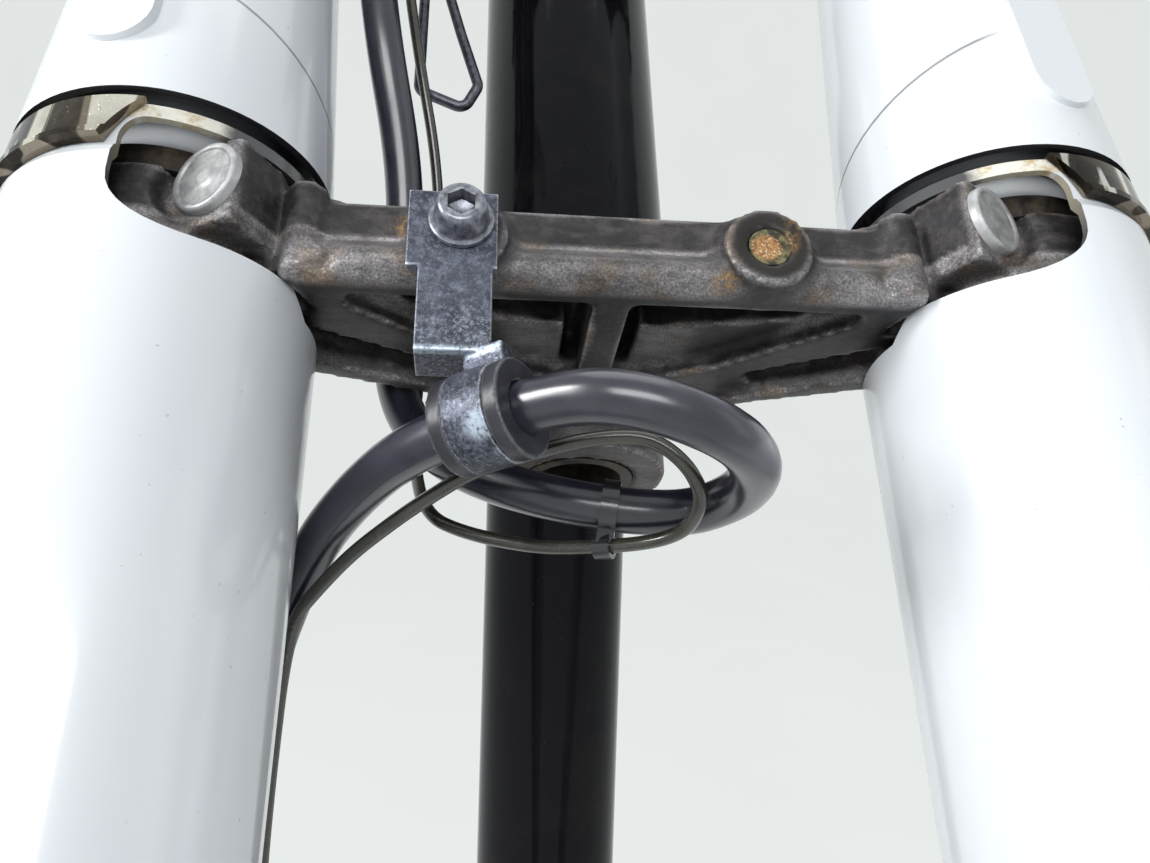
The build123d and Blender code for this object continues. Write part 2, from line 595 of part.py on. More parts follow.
def slider(side):
    """A slider with its seal neck, mudguard bosses, axle clamp and, on the right, caliper lugs."""
    at = leg(side)
    inward = -SIDES[side]
    body = spun([(0, AXLE_Z), (SLIDER_R - 5, AXLE_Z), (SLIDER_R, AXLE_Z + 45), (SLIDER_R, SLIDER_TOP - SLIDER_NECK - 6),
                 (SLIDER_NECK_R, SLIDER_TOP - SLIDER_NECK), (SLIDER_NECK_R, SLIDER_TOP), (0, SLIDER_TOP)], at)
    half = AXLE_BOSS_WIDTH / 2
    body += rod(AXLE_BOSS_R, (at[0] - half, at[1], AXLE_Z), (at[0] + half, at[1], AXLE_Z))
    body += Pos(at[0], at[1], AXLE_Z - AXLE_BOSS_R + 5) * Box(AXLE_BOSS_WIDTH * 0.6, 22, 16)
    for z in MUDGUARD_BOSS_ZS:
        face_x = at[0] + inward * MUDGUARD_BOSS_REACH
        body += rod(MUDGUARD_BOSS_R, (at[0] + inward * 10, at[1], z), (face_x, at[1], z))
    if side == "right":
        for z in CALIPER_LUG_ZS:
            lug_y = at[1] + CALIPER_LUG_REACH
            low_x = at[0] - CALIPER_LUG_THICKNESS / 2
            high_x = at[0] + CALIPER_LUG_THICKNESS / 2
            body += rod(CALIPER_LUG_R, (low_x, lug_y, z), (high_x, lug_y, z))
            body += Pos(at[0], at[1] + CALIPER_LUG_REACH / 2, z) * Box(CALIPER_LUG_THICKNESS, CALIPER_LUG_REACH,
                                                                    2 * CALIPER_LUG_R)
            body -= rod(CALIPER_HOLE_R, (low_x - 1, lug_y, z), (high_x + 1, lug_y, z))
    body -= disc(STANCHION_R + FIT, STANCHION_BOTTOM - 5, SLIDER_TOP + 1, at)
    body -= rod(AXLE_BORE_R, (at[0] - 40, at[1], AXLE_Z), (at[0] + 40, at[1], AXLE_Z))
    body -= Pos(at[0], at[1], AXLE_Z - AXLE_BOSS_R) * Box(80, SLIT, 2 * AXLE_BOSS_R - 4)
    for z in MUDGUARD_BOSS_ZS:
        face_x = at[0] + inward * MUDGUARD_BOSS_REACH
        body -= rod(MUDGUARD_HOLE_R, (face_x - inward * MUDGUARD_HOLE_DEPTH, at[1], z), (face_x + inward, at[1], z))
    return body


def wedge_round(side, outline):
    """A solid whose walls run straight out from a leg's axis, from an outline of angles and heights."""
    middle = (WINDOW_FROM + WINDOW_TO) / 2
    at = leg(side)
    faces = []
    for reach in (WEDGE_START, WEDGE_END):
        points = []
        for angle, z in outline:
            out = from_front(side, angle)
            far = reach / cos(radians(angle - middle))
            points.append((at[0] + out[0] * far, at[1] + out[1] * far, z))
        faces.append(make_face(Polyline(*points, close=True)))
    return loft(faces, ruled=True)


def window_corner(edge, turn, level, size):
    """An elliptical corner's angles and heights, from its level side round to its upright one."""
    reach, rise = size
    inward = 1 if level < 0 else -1
    points = []
    for step in range(9):
        t = radians(90 * step / 8)
        points.append((edge + turn * reach * (1 - sin(t)), level + inward * rise * (1 - cos(t))))
    return points


def window_cut(side):
    """The rounded opening through which the yoke's arm leaves the cover, deeper behind its front part."""
    outline = window_corner(WINDOW_FROM, 1, WINDOW_TOP, WINDOW_HIGH_CORNER)
    outline += reversed(window_corner(WINDOW_FROM, 1, WINDOW_BOTTOM, WINDOW_LOW_CORNER))
    outline += [(WINDOW_DROP_FROM, WINDOW_BOTTOM), (WINDOW_DROP_TO, WINDOW_DEEP)]
    outline += window_corner(WINDOW_TO, -1, WINDOW_DEEP, WINDOW_LOW_CORNER)
    outline += reversed(window_corner(WINDOW_TO, -1, WINDOW_TOP, WINDOW_HIGH_CORNER))
    return wedge_round(side, outline)


def lower_cover(side):
    """A drawn tube with a rounded shoulder, a neck above it and the window for the yoke's arm."""
    at = leg(side)
    r = LOWER_COVER_R
    w = COVER_WALL
    shell = spun([(r - w, LOWER_COVER_BOTTOM), (r, LOWER_COVER_BOTTOM), (r, SHOULDER_Z - SHOULDER_R),
                  (r - SHOULDER_R * 0.3, SHOULDER_Z - SHOULDER_R * 0.3), (NECK_R, SHOULDER_Z), (NECK_R, NECK_TOP),
                  (NECK_R - w, NECK_TOP), (NECK_R - w, SHOULDER_Z - w), (r - w, SHOULDER_Z - SHOULDER_R - w)], at)
    return shell - window_cut(side)


def trim_ring(side):
    """A chromed C-shaped band on the cover's shoulder, open where the yoke's arm comes out."""
    at = leg(side)
    low = SHOULDER_Z + SOFT_GAP
    inner = NECK_R + SOFT_GAP
    band = spun([(inner, low), (RING_OUT_BOTTOM, low), (RING_OUT_BOTTOM, low + 1.4), (RING_OUT_BOTTOM - 0.6, low + 2.0),
                 (RING_OUT_TOP, NECK_TOP), (inner, NECK_TOP)], at)
    gap = [(WINDOW_FROM - RING_END_LOW, low), (WINDOW_FROM + RING_END_HIGH, NECK_TOP),
           (WINDOW_TO - RING_END_HIGH, NECK_TOP), (WINDOW_TO + RING_END_LOW, low)]
    return band - wedge_round(side, [(gap[0][0], low - 1), gap[0], gap[1], (gap[1][0], NECK_TOP + 1),
                                     (gap[2][0], NECK_TOP + 1), gap[2], gap[3], (gap[3][0], low - 1)])


def upper_cover(side):
    """The tapered upper cover: skirt, shell, inner sleeve on the yoke's ring, raised pad and lamp ear."""
    at = leg(side)
    w = COVER_WALL
    top = UPPER_YOKE_BOTTOM - SOFT_GAP
    web = SKIRT_Z + 2.5
    stanchion_clear = STANCHION_R + 0.8
    shell = spun([(SKIRT_R - w, SKIRT_Z), (SKIRT_R, SKIRT_Z), (UPPER_COVER_R, TAPER_TOP), (UPPER_COVER_R, top),
                  (UPPER_COVER_R - w, top), (UPPER_COVER_R - w, TAPER_TOP), (SKIRT_R - w - 0.3, web + w),
                  (SLEEVE_R, web + w), (stanchion_clear, web + w), (stanchion_clear, RING_TOP), (SLEEVE_R, RING_TOP),
                  (SLEEVE_R, web), (SKIRT_R - w, web)], at)
    out = from_front(side, PAD_ANGLE)
    slope = (SKIRT_R - UPPER_COVER_R) / (TAPER_TOP - SKIRT_Z)
    middle = (PAD_TOP + PAD_BOTTOM) / 2
    face_r = SKIRT_R - slope * (middle - SKIRT_Z) + PAD_PROUD
    plane = Plane(origin=(at[0] + out[0] * face_r, at[1] + out[1] * face_r, middle), x_dir=(-out[1], out[0], 0),
                  z_dir=(out[0], out[1], slope))
    pad = extrude(plane * SlotOverall(PAD_TOP - PAD_BOTTOM, PAD_WIDTH, rotation=90), amount=-4.2)
    ear_x = at[0] + SIDES[side] * -1 * (UPPER_COVER_R - 9)
    tip_y = at[1] - EAR_REACH
    ear = rod(EAR_R, (ear_x - EAR_THICKNESS / 2, tip_y + EAR_R, EAR_Z), (ear_x + EAR_THICKNESS / 2, tip_y + EAR_R, EAR_Z))
    neck = Pos(ear_x, (tip_y + EAR_R + at[1] - 15) / 2, EAR_Z) * Box(EAR_THICKNESS, EAR_REACH - EAR_R - 15, 2 * EAR_R)
    hole = rod(EAR_HOLE_R, (ear_x - 10, tip_y + EAR_R, EAR_Z), (ear_x + 10, tip_y + EAR_R, EAR_Z))
    inside = disc(UPPER_COVER_R - w + 0.2, web, top + 1, at)
    return shell + (pad - inside) + (ear + neck - inside - hole)


def spool_frame():
    """The hose's straight run through the rubber spool: z along the hose."""
    start = Vector(*HOSE_ROUTE[SPOOL_RUN])
    end = Vector(*HOSE_ROUTE[SPOOL_RUN + 1])
    along = (end - start).normalized()
    return Plane(origin=(start + end) * 0.5 + along * SPOOL_ALONG, x_dir=Vector(0, 0, 1).cross(along), z_dir=along)


def hose_bracket():
    """A strap screwed to the yoke's boss, bent back at its foot, with a band hung under it round the spool."""
    front = -BRACKET_BOSS_FACE
    strap = Pos(BRACKET_X, front - BRACKET_THICKNESS / 2, BRACKET_BOTTOM) * Box(
        BRACKET_NARROW, BRACKET_THICKNESS, BRACKET_TOP - BRACKET_BOTTOM, align=BOTTOM_ALIGN)
    strap += Pos(BRACKET_X + BRACKET_TOP_SHIFT, front - BRACKET_THICKNESS / 2, BRACKET_STEP) * Box(
        BRACKET_WIDTH, BRACKET_THICKNESS, BRACKET_TOP - BRACKET_STEP, align=BOTTOM_ALIGN)
    frame = spool_frame()
    band = frame * (Cylinder(BAND_R + BAND_THICKNESS, BAND_WIDTH) - Cylinder(BAND_R, BAND_WIDTH + 2))
    foot = Pos(BRACKET_X, front - BRACKET_THICKNESS, BRACKET_BOTTOM) * Box(
        BRACKET_NARROW, BRACKET_FOOT, BRACKET_THICKNESS, align=(Align.CENTER, Align.MIN, Align.MIN))
    drop = BRACKET_BOTTOM - frame.origin.Z
    web = frame * Pos(0, BAND_R, 0) * Box(BAND_EARS, drop, BAND_WIDTH, align=(Align.CENTER, Align.MIN, Align.CENTER))
    web -= Pos(BRACKET_X, front, BRACKET_BOTTOM + BRACKET_THICKNESS / 2) * Box(60, 60, 40, align=BOTTOM_ALIGN)
    screw_x = -BRACKET_BOSS_SPACING / 2
    hole = rod(SCREW_R + 0.2, (screw_x, front + 5, BRACKET_BOSS_Z), (screw_x, front - 10, BRACKET_BOSS_Z))
    return strap - hole + foot + band + web


def bracket_screw():
    """A socket-headed screw and its washer, as one piece."""
    front = -BRACKET_BOSS_FACE - BRACKET_THICKNESS
    plane = Plane(origin=(-BRACKET_BOSS_SPACING / 2, front, BRACKET_BOSS_Z), z_dir=(0, -1, 0))
    body = plane * Cylinder(WASHER_R, WASHER, align=BOTTOM_ALIGN)
    body += plane * Pos(0, 0, WASHER) * Cone(SCREW_HEAD_R, SCREW_FACE_R, SCREW_HEAD, align=BOTTOM_ALIGN)
    body += plane * Pos(0, 0, -BRACKET_THICKNESS - 9) * Cylinder(SCREW_R, BRACKET_THICKNESS + 10, align=BOTTOM_ALIGN)
    socket = extrude(RegularPolygon(SCREW_SOCKET_R, 6), amount=SCREW_SOCKET_DEPTH + 1)
    return body - plane * Pos(0, 0, WASHER + SCREW_HEAD - SCREW_SOCKET_DEPTH) * socket


def grommet(hose):
    """The rubber spool that the band grips, with a flange at each end, moulded round the hose."""
    half = BAND_WIDTH / 2
    outline = [(HOSE_R - 1, -half - SPOOL_FLANGE), (SPOOL_FLANGE_R, -half - SPOOL_FLANGE), (SPOOL_FLANGE_R, -half),
               (BAND_R, -half), (BAND_R, half), (SPOOL_FLANGE_R, half), (SPOOL_FLANGE_R, half + SPOOL_FLANGE),
               (HOSE_R - 1, half + SPOOL_FLANGE)]
    return spool_frame() * spun(outline, (0, 0)) - hose


def cord_radii(route):
    """The largest tangent arcs that the route's runs allow, one for each inner point."""
    radii = []
    for before, here, after in zip(route, route[1:], route[2:]):
        inward = Vector(*here) - Vector(*before)
        outward = Vector(*after) - Vector(*here)
        half_turn = radians(inward.get_angle(outward)) / 2
        radii.append(0.45 * min(inward.length, outward.length) / tan(half_turn))
    return radii


def cord(route, radius, name):
    """A cord of straight runs joined by tangent arcs, with its length printed beside its volume."""
    radii = cord_radii(route)
    path = FilletPolyline(*route, radius=radii)
    start = Plane(origin=path @ 0, z_dir=path % 0)
    solid = sweep(start * Circle(radius), path=path)
    print(name, "length", round(path.length, 1), "volume share",
          round(solid.volume / (path.length * 3.14159265 * radius * radius), 4), "smallest radius",
          round(min(radii), 1), "diameters", round(min(radii) / (2 * radius), 1))
    return solid


def between(route, i):
    """The middle of a route's run and the run's direction."""
    start = Vector(*route[i])
    end = Vector(*route[i + 1])
    return (start + end) * 0.5, (end - start).normalized()


def crossing(route, i, plane):
    """Where a route's run crosses a plane and the run's direction there, as a plane in its coordinates."""
    start = plane.to_local_coords(Vector(*route[i]))
    end = plane.to_local_coords(Vector(*route[i + 1]))
    at = start + (end - start) * (start.Z / (start.Z - end.Z))
    return Plane(origin=at, z_dir=(end - start).normalized())


def double_clip(hose_run, cable_run, wall, width):
    """Two rings and the web between them, round the hose and the cable, on the hose run's plane."""
    middle, along = between(HOSE_ROUTE, hose_run)
    plane = Plane(origin=middle, z_dir=along)
    cable = crossing(CABLE_ROUTE, cable_run, plane)
    web = Pos(0, 0, -width / 2) * prism_between((0, 0), (cable.origin.X, cable.origin.Y), CABLE_R + wall, 0, width)
    rings = Cylinder(HOSE_R + SOFT_GAP + wall, width) + cable * Cylinder(CABLE_R + SOFT_GAP + wall, width)
    bores = Cylinder(HOSE_R + SOFT_GAP, 2 * width) + cable * Cylinder(CABLE_R + SOFT_GAP, 2 * width)
    return plane, rings + web, bores


def tie():
    """The band that holds the thin cable to the hose at the back of their loops."""
    plane, rings, bores = double_clip(*TIE_RUNS, 0.9, 3.5)
    return plane * (rings - bores)


def hose_guide():
    """A steel clip on the right slider that holds the hose and the cable."""
    plane, rings, bores = double_clip(*CLIP_RUNS, 1.5, 8.0)
    at = leg("right")
    slider_axis = plane.to_local_coords(Vector(at[0], at[1], plane.origin.Z))
    tab = Pos(0, 0, -4) * prism_between((0, 0), (slider_axis.X, slider_axis.Y), 3.0, 0, 8.0)
    return plane * (rings + tab - bores) - disc(SLIDER_R, AXLE_Z, SLIDER_TOP, at)


def wire_guide():
    """A loop of thick wire that hangs from the upper yoke's plate beside the cords."""
    top = PLATE_BOTTOM - SOFT_GAP
    low = GUIDE_BOTTOM
    route = [(-45.1, -24, top), (-45.1, -24, low + 5), (-32.4, -23.2, low), (-28.6, -25, low + 7), (-34, -25.5, low + 26),
             (-38.5, -25.5, low + 44), (-39, -25.5, top)]
    path = FilletPolyline(*route, radius=GUIDE_BEND)
    return sweep(Plane(origin=path @ 0, z_dir=path % 0) * Circle(GUIDE_R), path=path)


def end_fitting(point, before, radius, length, nut, stud):
    """A ferrule round a cord's end, the hexagon behind it and its round end."""
    along = (Vector(*point) - Vector(*before)).normalized()
    plane = Plane(origin=point, z_dir=along)
    ferrule_r = radius + FERRULE_WALL
    ferrule = Pos(0, 0, -length) * Cylinder(ferrule_r, length, align=BOTTOM_ALIGN)
    ferrule -= Pos(0, 0, -length - 1) * Cylinder(radius, length + 1, align=BOTTOM_ALIGN)
    hexagon = extrude(RegularPolygon(ferrule_r + 1.2, 6), amount=nut)
    end = Cylinder(ferrule_r - 0.6, nut + stud, align=BOTTOM_ALIGN)
    return plane * (ferrule + hexagon + end)


def upper_end(route, radius, length, nut):
    """A fitting whose stud reaches the upper yoke's plate."""
    lean = Vector(*route[-1]) - Vector(*route[-2])
    stud = (PLATE_BOTTOM - SOFT_GAP - route[-1][2]) * lean.length / lean.Z - nut
    return end_fitting(route[-1], route[-2], radius, length, nut, stud - 1.0)


def export(shape, name):
    shape.label = name
    export_step(shape, os.path.join("parts", name + ".step"))


def main():
    os.makedirs("parts", exist_ok=True)
    hose = cord(HOSE_ROUTE, HOSE_R, "brake_hose")
    fork = {
        "lower_yoke": lower_yoke(),
        "steering_stem": stem(),
        "lower_bearing_cone": lower_cone(),
        "stem_adjuster": adjuster(),
        "upper_yoke": upper_yoke(),
        "stem_top_nut": top_nut(),
        "handlebar_clamp_caps": Compound(children=bar_caps()),
        "hose_bracket": hose_bracket(),
        "bracket_screw": bracket_screw(),
        "hose_grommet": grommet(hose),
        "brake_hose": hose,
        "thin_cable": cord(CABLE_ROUTE, CABLE_R, "thin_cable"),
        "cable_tie": tie(),
        "hose_guide": hose_guide(),
        "wire_guide": wire_guide(),
        "hose_lower_end": end_fitting(HOSE_ROUTE[0], HOSE_ROUTE[1], HOSE_R, 16, 8, 6),
        "hose_upper_end": upper_end(HOSE_ROUTE, HOSE_R, 14, 8),
        "cable_lower_end": end_fitting(CABLE_ROUTE[0], CABLE_ROUTE[1], CABLE_R, 12, 6, 6),
        "cable_upper_end": upper_end(CABLE_ROUTE, CABLE_R, 12, 6),
    }
    for side in SIDES:
        fork["stanchion_" + side] = stanchion(side)
        fork["slider_" + side] = slider(side)
        fork["lower_cover_" + side] = lower_cover(side)
        fork["upper_cover_" + side] = upper_cover(side)
        fork["trim_ring_" + side] = trim_ring(side)
        fork["fork_cap_" + side] = fork_cap(side)
        fork["lower_pinch_bolt_" + side] = pinch_bolt(clamp_frame(side, SLIT_ANGLE, PINCH_REACH, PINCH_Z))
        fork["upper_pinch_bolt_" + side] = pinch_bolt(
            clamp_frame(side, UPPER_SLIT_ANGLE, PINCH_REACH, UPPER_YOKE_BOTTOM + UPPER_YOKE_HEIGHT / 2))
    for name, shape in fork.items():
        export(place_fork(shape), name)

    backbone_tube, down_tube = frame_tubes()
    export(place_fork(head_tube()), "head_tube")
    export(place_fork(lower_cup()), "lower_bearing_cup")
    export(place_fork(upper_cup()), "upper_bearing_cup")
    export(backbone_tube, "backbone_tube")
    export(down_tube, "down_tube")
    export(gussets(), "head_gusset")


main()
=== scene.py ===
import json
import math

import bmesh
import bpy
import numpy as np
from mathutils import Matrix, Vector


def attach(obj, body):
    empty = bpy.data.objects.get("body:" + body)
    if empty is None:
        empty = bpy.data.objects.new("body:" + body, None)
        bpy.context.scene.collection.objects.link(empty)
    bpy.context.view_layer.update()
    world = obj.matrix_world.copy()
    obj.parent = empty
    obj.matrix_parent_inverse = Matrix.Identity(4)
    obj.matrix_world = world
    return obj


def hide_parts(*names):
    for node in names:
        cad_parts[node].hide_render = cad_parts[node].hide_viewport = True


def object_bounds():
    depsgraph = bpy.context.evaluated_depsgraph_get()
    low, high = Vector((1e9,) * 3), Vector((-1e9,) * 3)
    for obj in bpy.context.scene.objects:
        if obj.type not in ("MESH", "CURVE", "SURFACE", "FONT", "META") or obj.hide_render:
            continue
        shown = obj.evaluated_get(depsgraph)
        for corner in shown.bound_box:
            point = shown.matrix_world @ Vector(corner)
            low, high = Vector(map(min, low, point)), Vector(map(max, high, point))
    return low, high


# The finish of a covered telescopic fork in its steering head. Lengths are in metres. Points written in the
# fork's own upright frame are in millimetres: Z up the steering axis, -Y forward, -X the rider's right.

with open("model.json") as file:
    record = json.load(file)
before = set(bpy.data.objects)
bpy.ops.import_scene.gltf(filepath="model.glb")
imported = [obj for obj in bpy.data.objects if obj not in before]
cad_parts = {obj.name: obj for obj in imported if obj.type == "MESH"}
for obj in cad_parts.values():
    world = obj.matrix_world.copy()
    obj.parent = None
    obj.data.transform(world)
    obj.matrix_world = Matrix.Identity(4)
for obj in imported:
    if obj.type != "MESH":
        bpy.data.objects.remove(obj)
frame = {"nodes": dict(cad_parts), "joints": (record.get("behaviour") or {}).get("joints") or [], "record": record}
CAD_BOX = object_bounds()
NODES = frame["nodes"]
STEERING = frame["joints"][0]
SIDES = {"right": -1, "left": 1}
MM = 0.001

# The steering axis leans back by the rake, and the joint's place is the fork frame's origin.
AXIS = Vector(STEERING["axis"])
RAKE = math.atan2(AXIS.y, AXIS.z)
FORK = Matrix.Translation(Vector(STEERING["pos_m"])) @ Matrix.Rotation(-RAKE, 4, "X") @ Matrix.Scale(MM, 4)

# Camera: a short lens just in front of the yoke, nearly level
CAMERA_AT = (-0.02733, -0.43913, -0.11129)
CAMERA_YAW = -6.180
CAMERA_PITCH = -2.099
CAMERA_ROLL = 1.774
LENS = 29.30
SENSOR = 36.0

# The middle line of the left fork leg, in millimetres in the fork's own frame
LEG_X = 93.0
LEG_Y = -51.0

# The brake hose and the thin cable: radius and control points
HOSE_R = 4.75
HOSE_ROUTE = [
    (-77.0, -10.0, -400.0), (-78.0, -11.0, -345.0), (-77.9, -10.5, -290.0), (-77.0, -9.0, -235.0),
    (-76.5, -8.2, -180.0), (-75.5, -8.0, -128.0), (-72.5, -13.0, -86.0), (-61.8, -29.0, -60.9),
    (-48.5, -51.5, -53.5), (-35.8, -69.6, -51.6), (-14.6, -84.6, -50.4), (-3.2, -91.8, -52.9),
    (13.5, -89.8, -57.3), (23.6, -76.6, -58.2), (24.4, -59.0, -57.6), (14.0, -46.0, -57.4),
    (-12.0, -43.0, -52.8), (-33.0, -33.0, -41.5), (-44.0, -24.0, -25.5), (-48.2, -20.0, -7.0),
    (-46.2, -21.0, 16.0), (-46.6, -30.0, 42.0), (-53.5, -46.0, 73.0), (-57.5, -51.0, 105.0),
    (-58.5, -50.0, 137.0), (-58.5, -48.0, 166.0),
]
CABLE_R = 1.45
CABLE_ROUTE = [
    (-66.0, -4.0, -402.0), (-69.0, -3.0, -345.0), (-69.6, -2.4, -290.0), (-69.0, -1.0, -235.0),
    (-68.6, -1.7, -180.0), (-68.5, -4.5, -132.0), (-67.5, -13.5, -108.0), (-64.6, -26.3, -75.2),
    (-57.4, -34.4, -69.2), (-50.9, -40.7, -64.3), (-43.0, -47.5, -60.2), (-37.3, -51.5, -57.3),
    (-27.1, -59.6, -53.4), (-16.3, -63.1, -51.1), (-5.2, -66.7, -49.3), (5.7, -67.6, -49.0),
    (12.9, -67.5, -55.0), (16.1, -63.6, -60.6), (13.2, -52.2, -64.5), (-7.5, -40.8, -62.8),
    (-16.7, -37.4, -61.0), (-28.8, -34.9, -57.7), (-37.3, -32.5, -52.9),
    (-41.0, -20.0, -36.0), (-42.0, -13.5, -17.0), (-40.5, -11.3, 3.0), (-37.8, -12.5, 26.0),
    (-39.0, -20.0, 52.0), (-45.0, -31.5, 80.0), (-50.0, -37.5, 110.0), (-50.0, -37.0, 138.0),
    (-48.5, -35.0, 166.0),
]

# The pinch bolts: the clamp slit's turn from the front, and the bolt's reach, height and seat on its lug
SLIT_TURN = math.radians(60.0)
PINCH_REACH = 25.3
PINCH_Z = -3.0
PINCH_LUG = 14.8
PINCH_LIFT = 0.8

# The bracket's screw, the spare boss and the bracket's bend
BOSS_X = 30.7
BOSS_Z = -10.2
BOSS_FACE = -76.0
SCREW_SEAT = -78.5
BRACKET_BOTTOM = -38.3

# The upper yoke, its handlebar clamps with their screws, and the fork caps
UPPER_YOKE_TOP = 202.0
UPPER_YOKE_MIDDLE = 191.0
BAR_X = 46.0
BAR_Y = -30.0
BAR_RISE = 20.0
BAR_CAP = 7.4
BAR_SCREW_REACH = 15.0
CAP_TOP = 213.0

# The lower yoke's beam: its rounded ends, and the heights of its lip
BEAM_END_X = 61.6
BEAM_END_Y = -69.3
BEAM_END_R = 4.0
BEAM_END_SPAN = (-18.0, 2.6)
LIP_TOP = -9.0
LIP_BOTTOM = -22.0

# The deeper rim behind the lower yoke's left arm, as an outline from above, and its lowest and highest point
REAR_RIM = [(66.0, -43.5), (66.0, -37.2), (38.0, -27.9), (31.0, -23.5), (31.0, -29.0), (38.0, -32.4)]
REAR_RIM_SPAN = (-21.6, -17.0)

# Spots of rust on the lower yoke and the pale worn patch on the hose's band, as centre and radius
RUST_SPOTS = [
    ((BOSS_X + 7.0, BOSS_FACE + 1.0, BOSS_Z + 6.5), 4.5), ((BOSS_X + 3.0, BOSS_FACE, BOSS_Z + 1.0), 3.6),
    ((BOSS_X - 9.0, -72.0, BOSS_Z - 7.0), 3.5), ((-61.0, -70.0, -14.0), 3.0), ((-41.5, -71.0, -6.0), 4.0),
]
PALE_PATCH = ((-27.0, -85.3, -56.2), 3.2)

# The seam on the upper covers falls from this height at the front, by this much a radian round the leg
SEAM_Z = 49.8
SEAM_FALL = 12.3

# A loose island of a remeshed piece with fewer points than this is a crumb
CRUMB = 800

# On turned pieces, edges sharper than this stay sharp, and edges are worn by this share
SHARP_EDGE = math.radians(38)
TURNED_WEAR = 0.5

# The floor's gap below the fork, and how far and how high its sweep reaches, in metres
FLOOR_GAP = 0.002
SWEEP_FRONT = 6.0
SWEEP_BACK = 4.0
SWEEP_BEND = 1.5
SWEEP_WALL = 5.0
SWEEP_HALF_WIDTH = 7.0
SWEEP_STEPS = 24

# The share of its own glow in the floor, where it is seen
SWEEP_GLOW = 0.8

# The lamps, all aimed at one point: place, size in metres and power in watts
LIT_POINT = (0.0, -0.24, -0.12)
LAMPS = {
    "key_front": ((-0.2, -1.45, 0.5), (0.9, 0.5), 10.5),
    "fill_left": ((1.7, -0.9, 0.3), (0.5, 1.6), 1.2),
    "strip_right": ((-1.25, -0.68, 0.42), (0.24, 0.7), 15.0),
    "top_soft": ((0.0, 0.3, 1.8), (1.6, 1.6), 10.0),
}

# The world's strength as light on the fork, and as it is seen
WORLD_LIGHT = 0.31
WORLD_SEEN = 0.80


class Nodes:
    """Short calls for building a material's node tree. fork is the place in the fork's frame, in mm."""

    def __init__(self, name):
        self.material = bpy.data.materials.new(name)
        self.material.use_nodes = True
        self.tree = self.material.node_tree
        self.shader = self.tree.nodes["Principled BSDF"]
        own = self.tree.nodes.new("ShaderNodeTexCoord").outputs
        self.facing = own["Normal"]
        back = FORK.inverted()
        self.fork = self.add("ShaderNodeMapping", {
            "Vector": own["Object"], "Scale": (1 / MM,) * 3, "Rotation": back.to_euler(),
            "Location": back.to_translation(),
        }).outputs["Vector"]

    def add(self, kind, inputs=None, **settings):
        node = self.tree.nodes.new(kind)
        for key, value in settings.items():
            setattr(node, key, value)
        for key, value in (inputs or {}).items():
            self.put(value, node.inputs[key])
        return node

    def put(self, value, socket):
        """Links a socket to another, or gives it a value."""
        if isinstance(value, bpy.types.NodeSocket):
            self.tree.links.new(value, socket)
        else:
            socket.default_value = value

    def set(self, **values):
        """Sets the shader's inputs, whose names are written with underscores."""
        for key, value in values.items():
            self.put(value, self.shader.inputs[key.replace("_", " ")])

    def noise(self, size, detail=4.0, rough=0.55, stretch=None, distort=0.0):
        """Noise whose blotches are about size mm across."""
        place = self.fork
        if stretch:
            place = self.add("ShaderNodeMapping", {"Vector": place, "Scale": stretch}).outputs["Vector"]
        node = self.add("ShaderNodeTexNoise", {"Vector": place, "Scale": 1 / size, "Detail": detail,
                                               "Roughness": rough, "Distortion": distort})
        return node.outputs["Fac"]

    def ramp(self, value, low, high, out_low=0.0, out_high=1.0):
        """Runs from out_low to out_high as the value goes from low to high, and no further."""
        node = self.add("ShaderNodeMapRange", {"Value": value, "From Min": low, "From Max": high,
                                               "To Min": out_low, "To Max": out_high})
        return node.outputs["Result"]

    def mix(self, share, first, second):
        """Mixes two colours. The node's colours are its inputs 6 and 7 and its output 2."""
        node = self.add("ShaderNodeMix", data_type="RGBA")
        self.put(share, node.inputs["Factor"])
        self.put(first, node.inputs[6])
        self.put(second, node.inputs[7])
        return node.outputs[2]

    def math(self, operation, first, second=0.0):
        node = self.add("ShaderNodeMath", operation=operation)
        self.put(first, node.inputs[0])
        self.put(second, node.inputs[1])
        return node.outputs["Value"]

    def times(self, first, second):
        return self.math("MULTIPLY", first, second)

    def axes(self):
        """The place on the fork as separate X, Y and Z."""
        return self.add("ShaderNodeSeparateXYZ", {"Vector": self.fork}).outputs

    def outward(self):
        """How far the surface faces away from the middle line of the fork leg that it is on."""
        at = self.axes()
        out = self.add("ShaderNodeCombineXYZ", {
            "X": self.math("SUBTRACT", at["X"], self.times(self.math("SIGN", at["X"]), LEG_X)),
            "Y": self.math("SUBTRACT", at["Y"], LEG_Y)}).outputs["Vector"]
        faces = self.add("ShaderNodeMapping", {"Rotation": FORK.inverted().to_euler(),
                                               "Vector": self.facing}, vector_type="VECTOR").outputs["Vector"]
        out = self.add("ShaderNodeVectorMath", {0: out}, operation="NORMALIZE").outputs["Vector"]
        return self.add("ShaderNodeVectorMath", {0: out, 1: faces}, operation="DOT_PRODUCT").outputs["Value"]

    def from_front(self):
        """The angle round the fork leg, from its front towards the fork's middle."""
        at = self.axes()
        side = self.math("SIGN", at["X"])
        across = self.times(side, self.math("SUBTRACT", self.times(side, LEG_X), at["X"]))
        return self.math("ARCTAN2", across, self.math("SUBTRACT", LEG_Y, at["Y"]))

    def attribute(self, name):
        return self.add("ShaderNodeAttribute", attribute_name=name).outputs["Fac"]

    def bump(self, height, strength, distance):
        inputs = {"Height": height, "Strength": strength, "Distance": distance}
        return self.add("ShaderNodeBump", inputs).outputs["Normal"]


def rgb(red, green, blue):
    return (red, green, blue, 1.0)


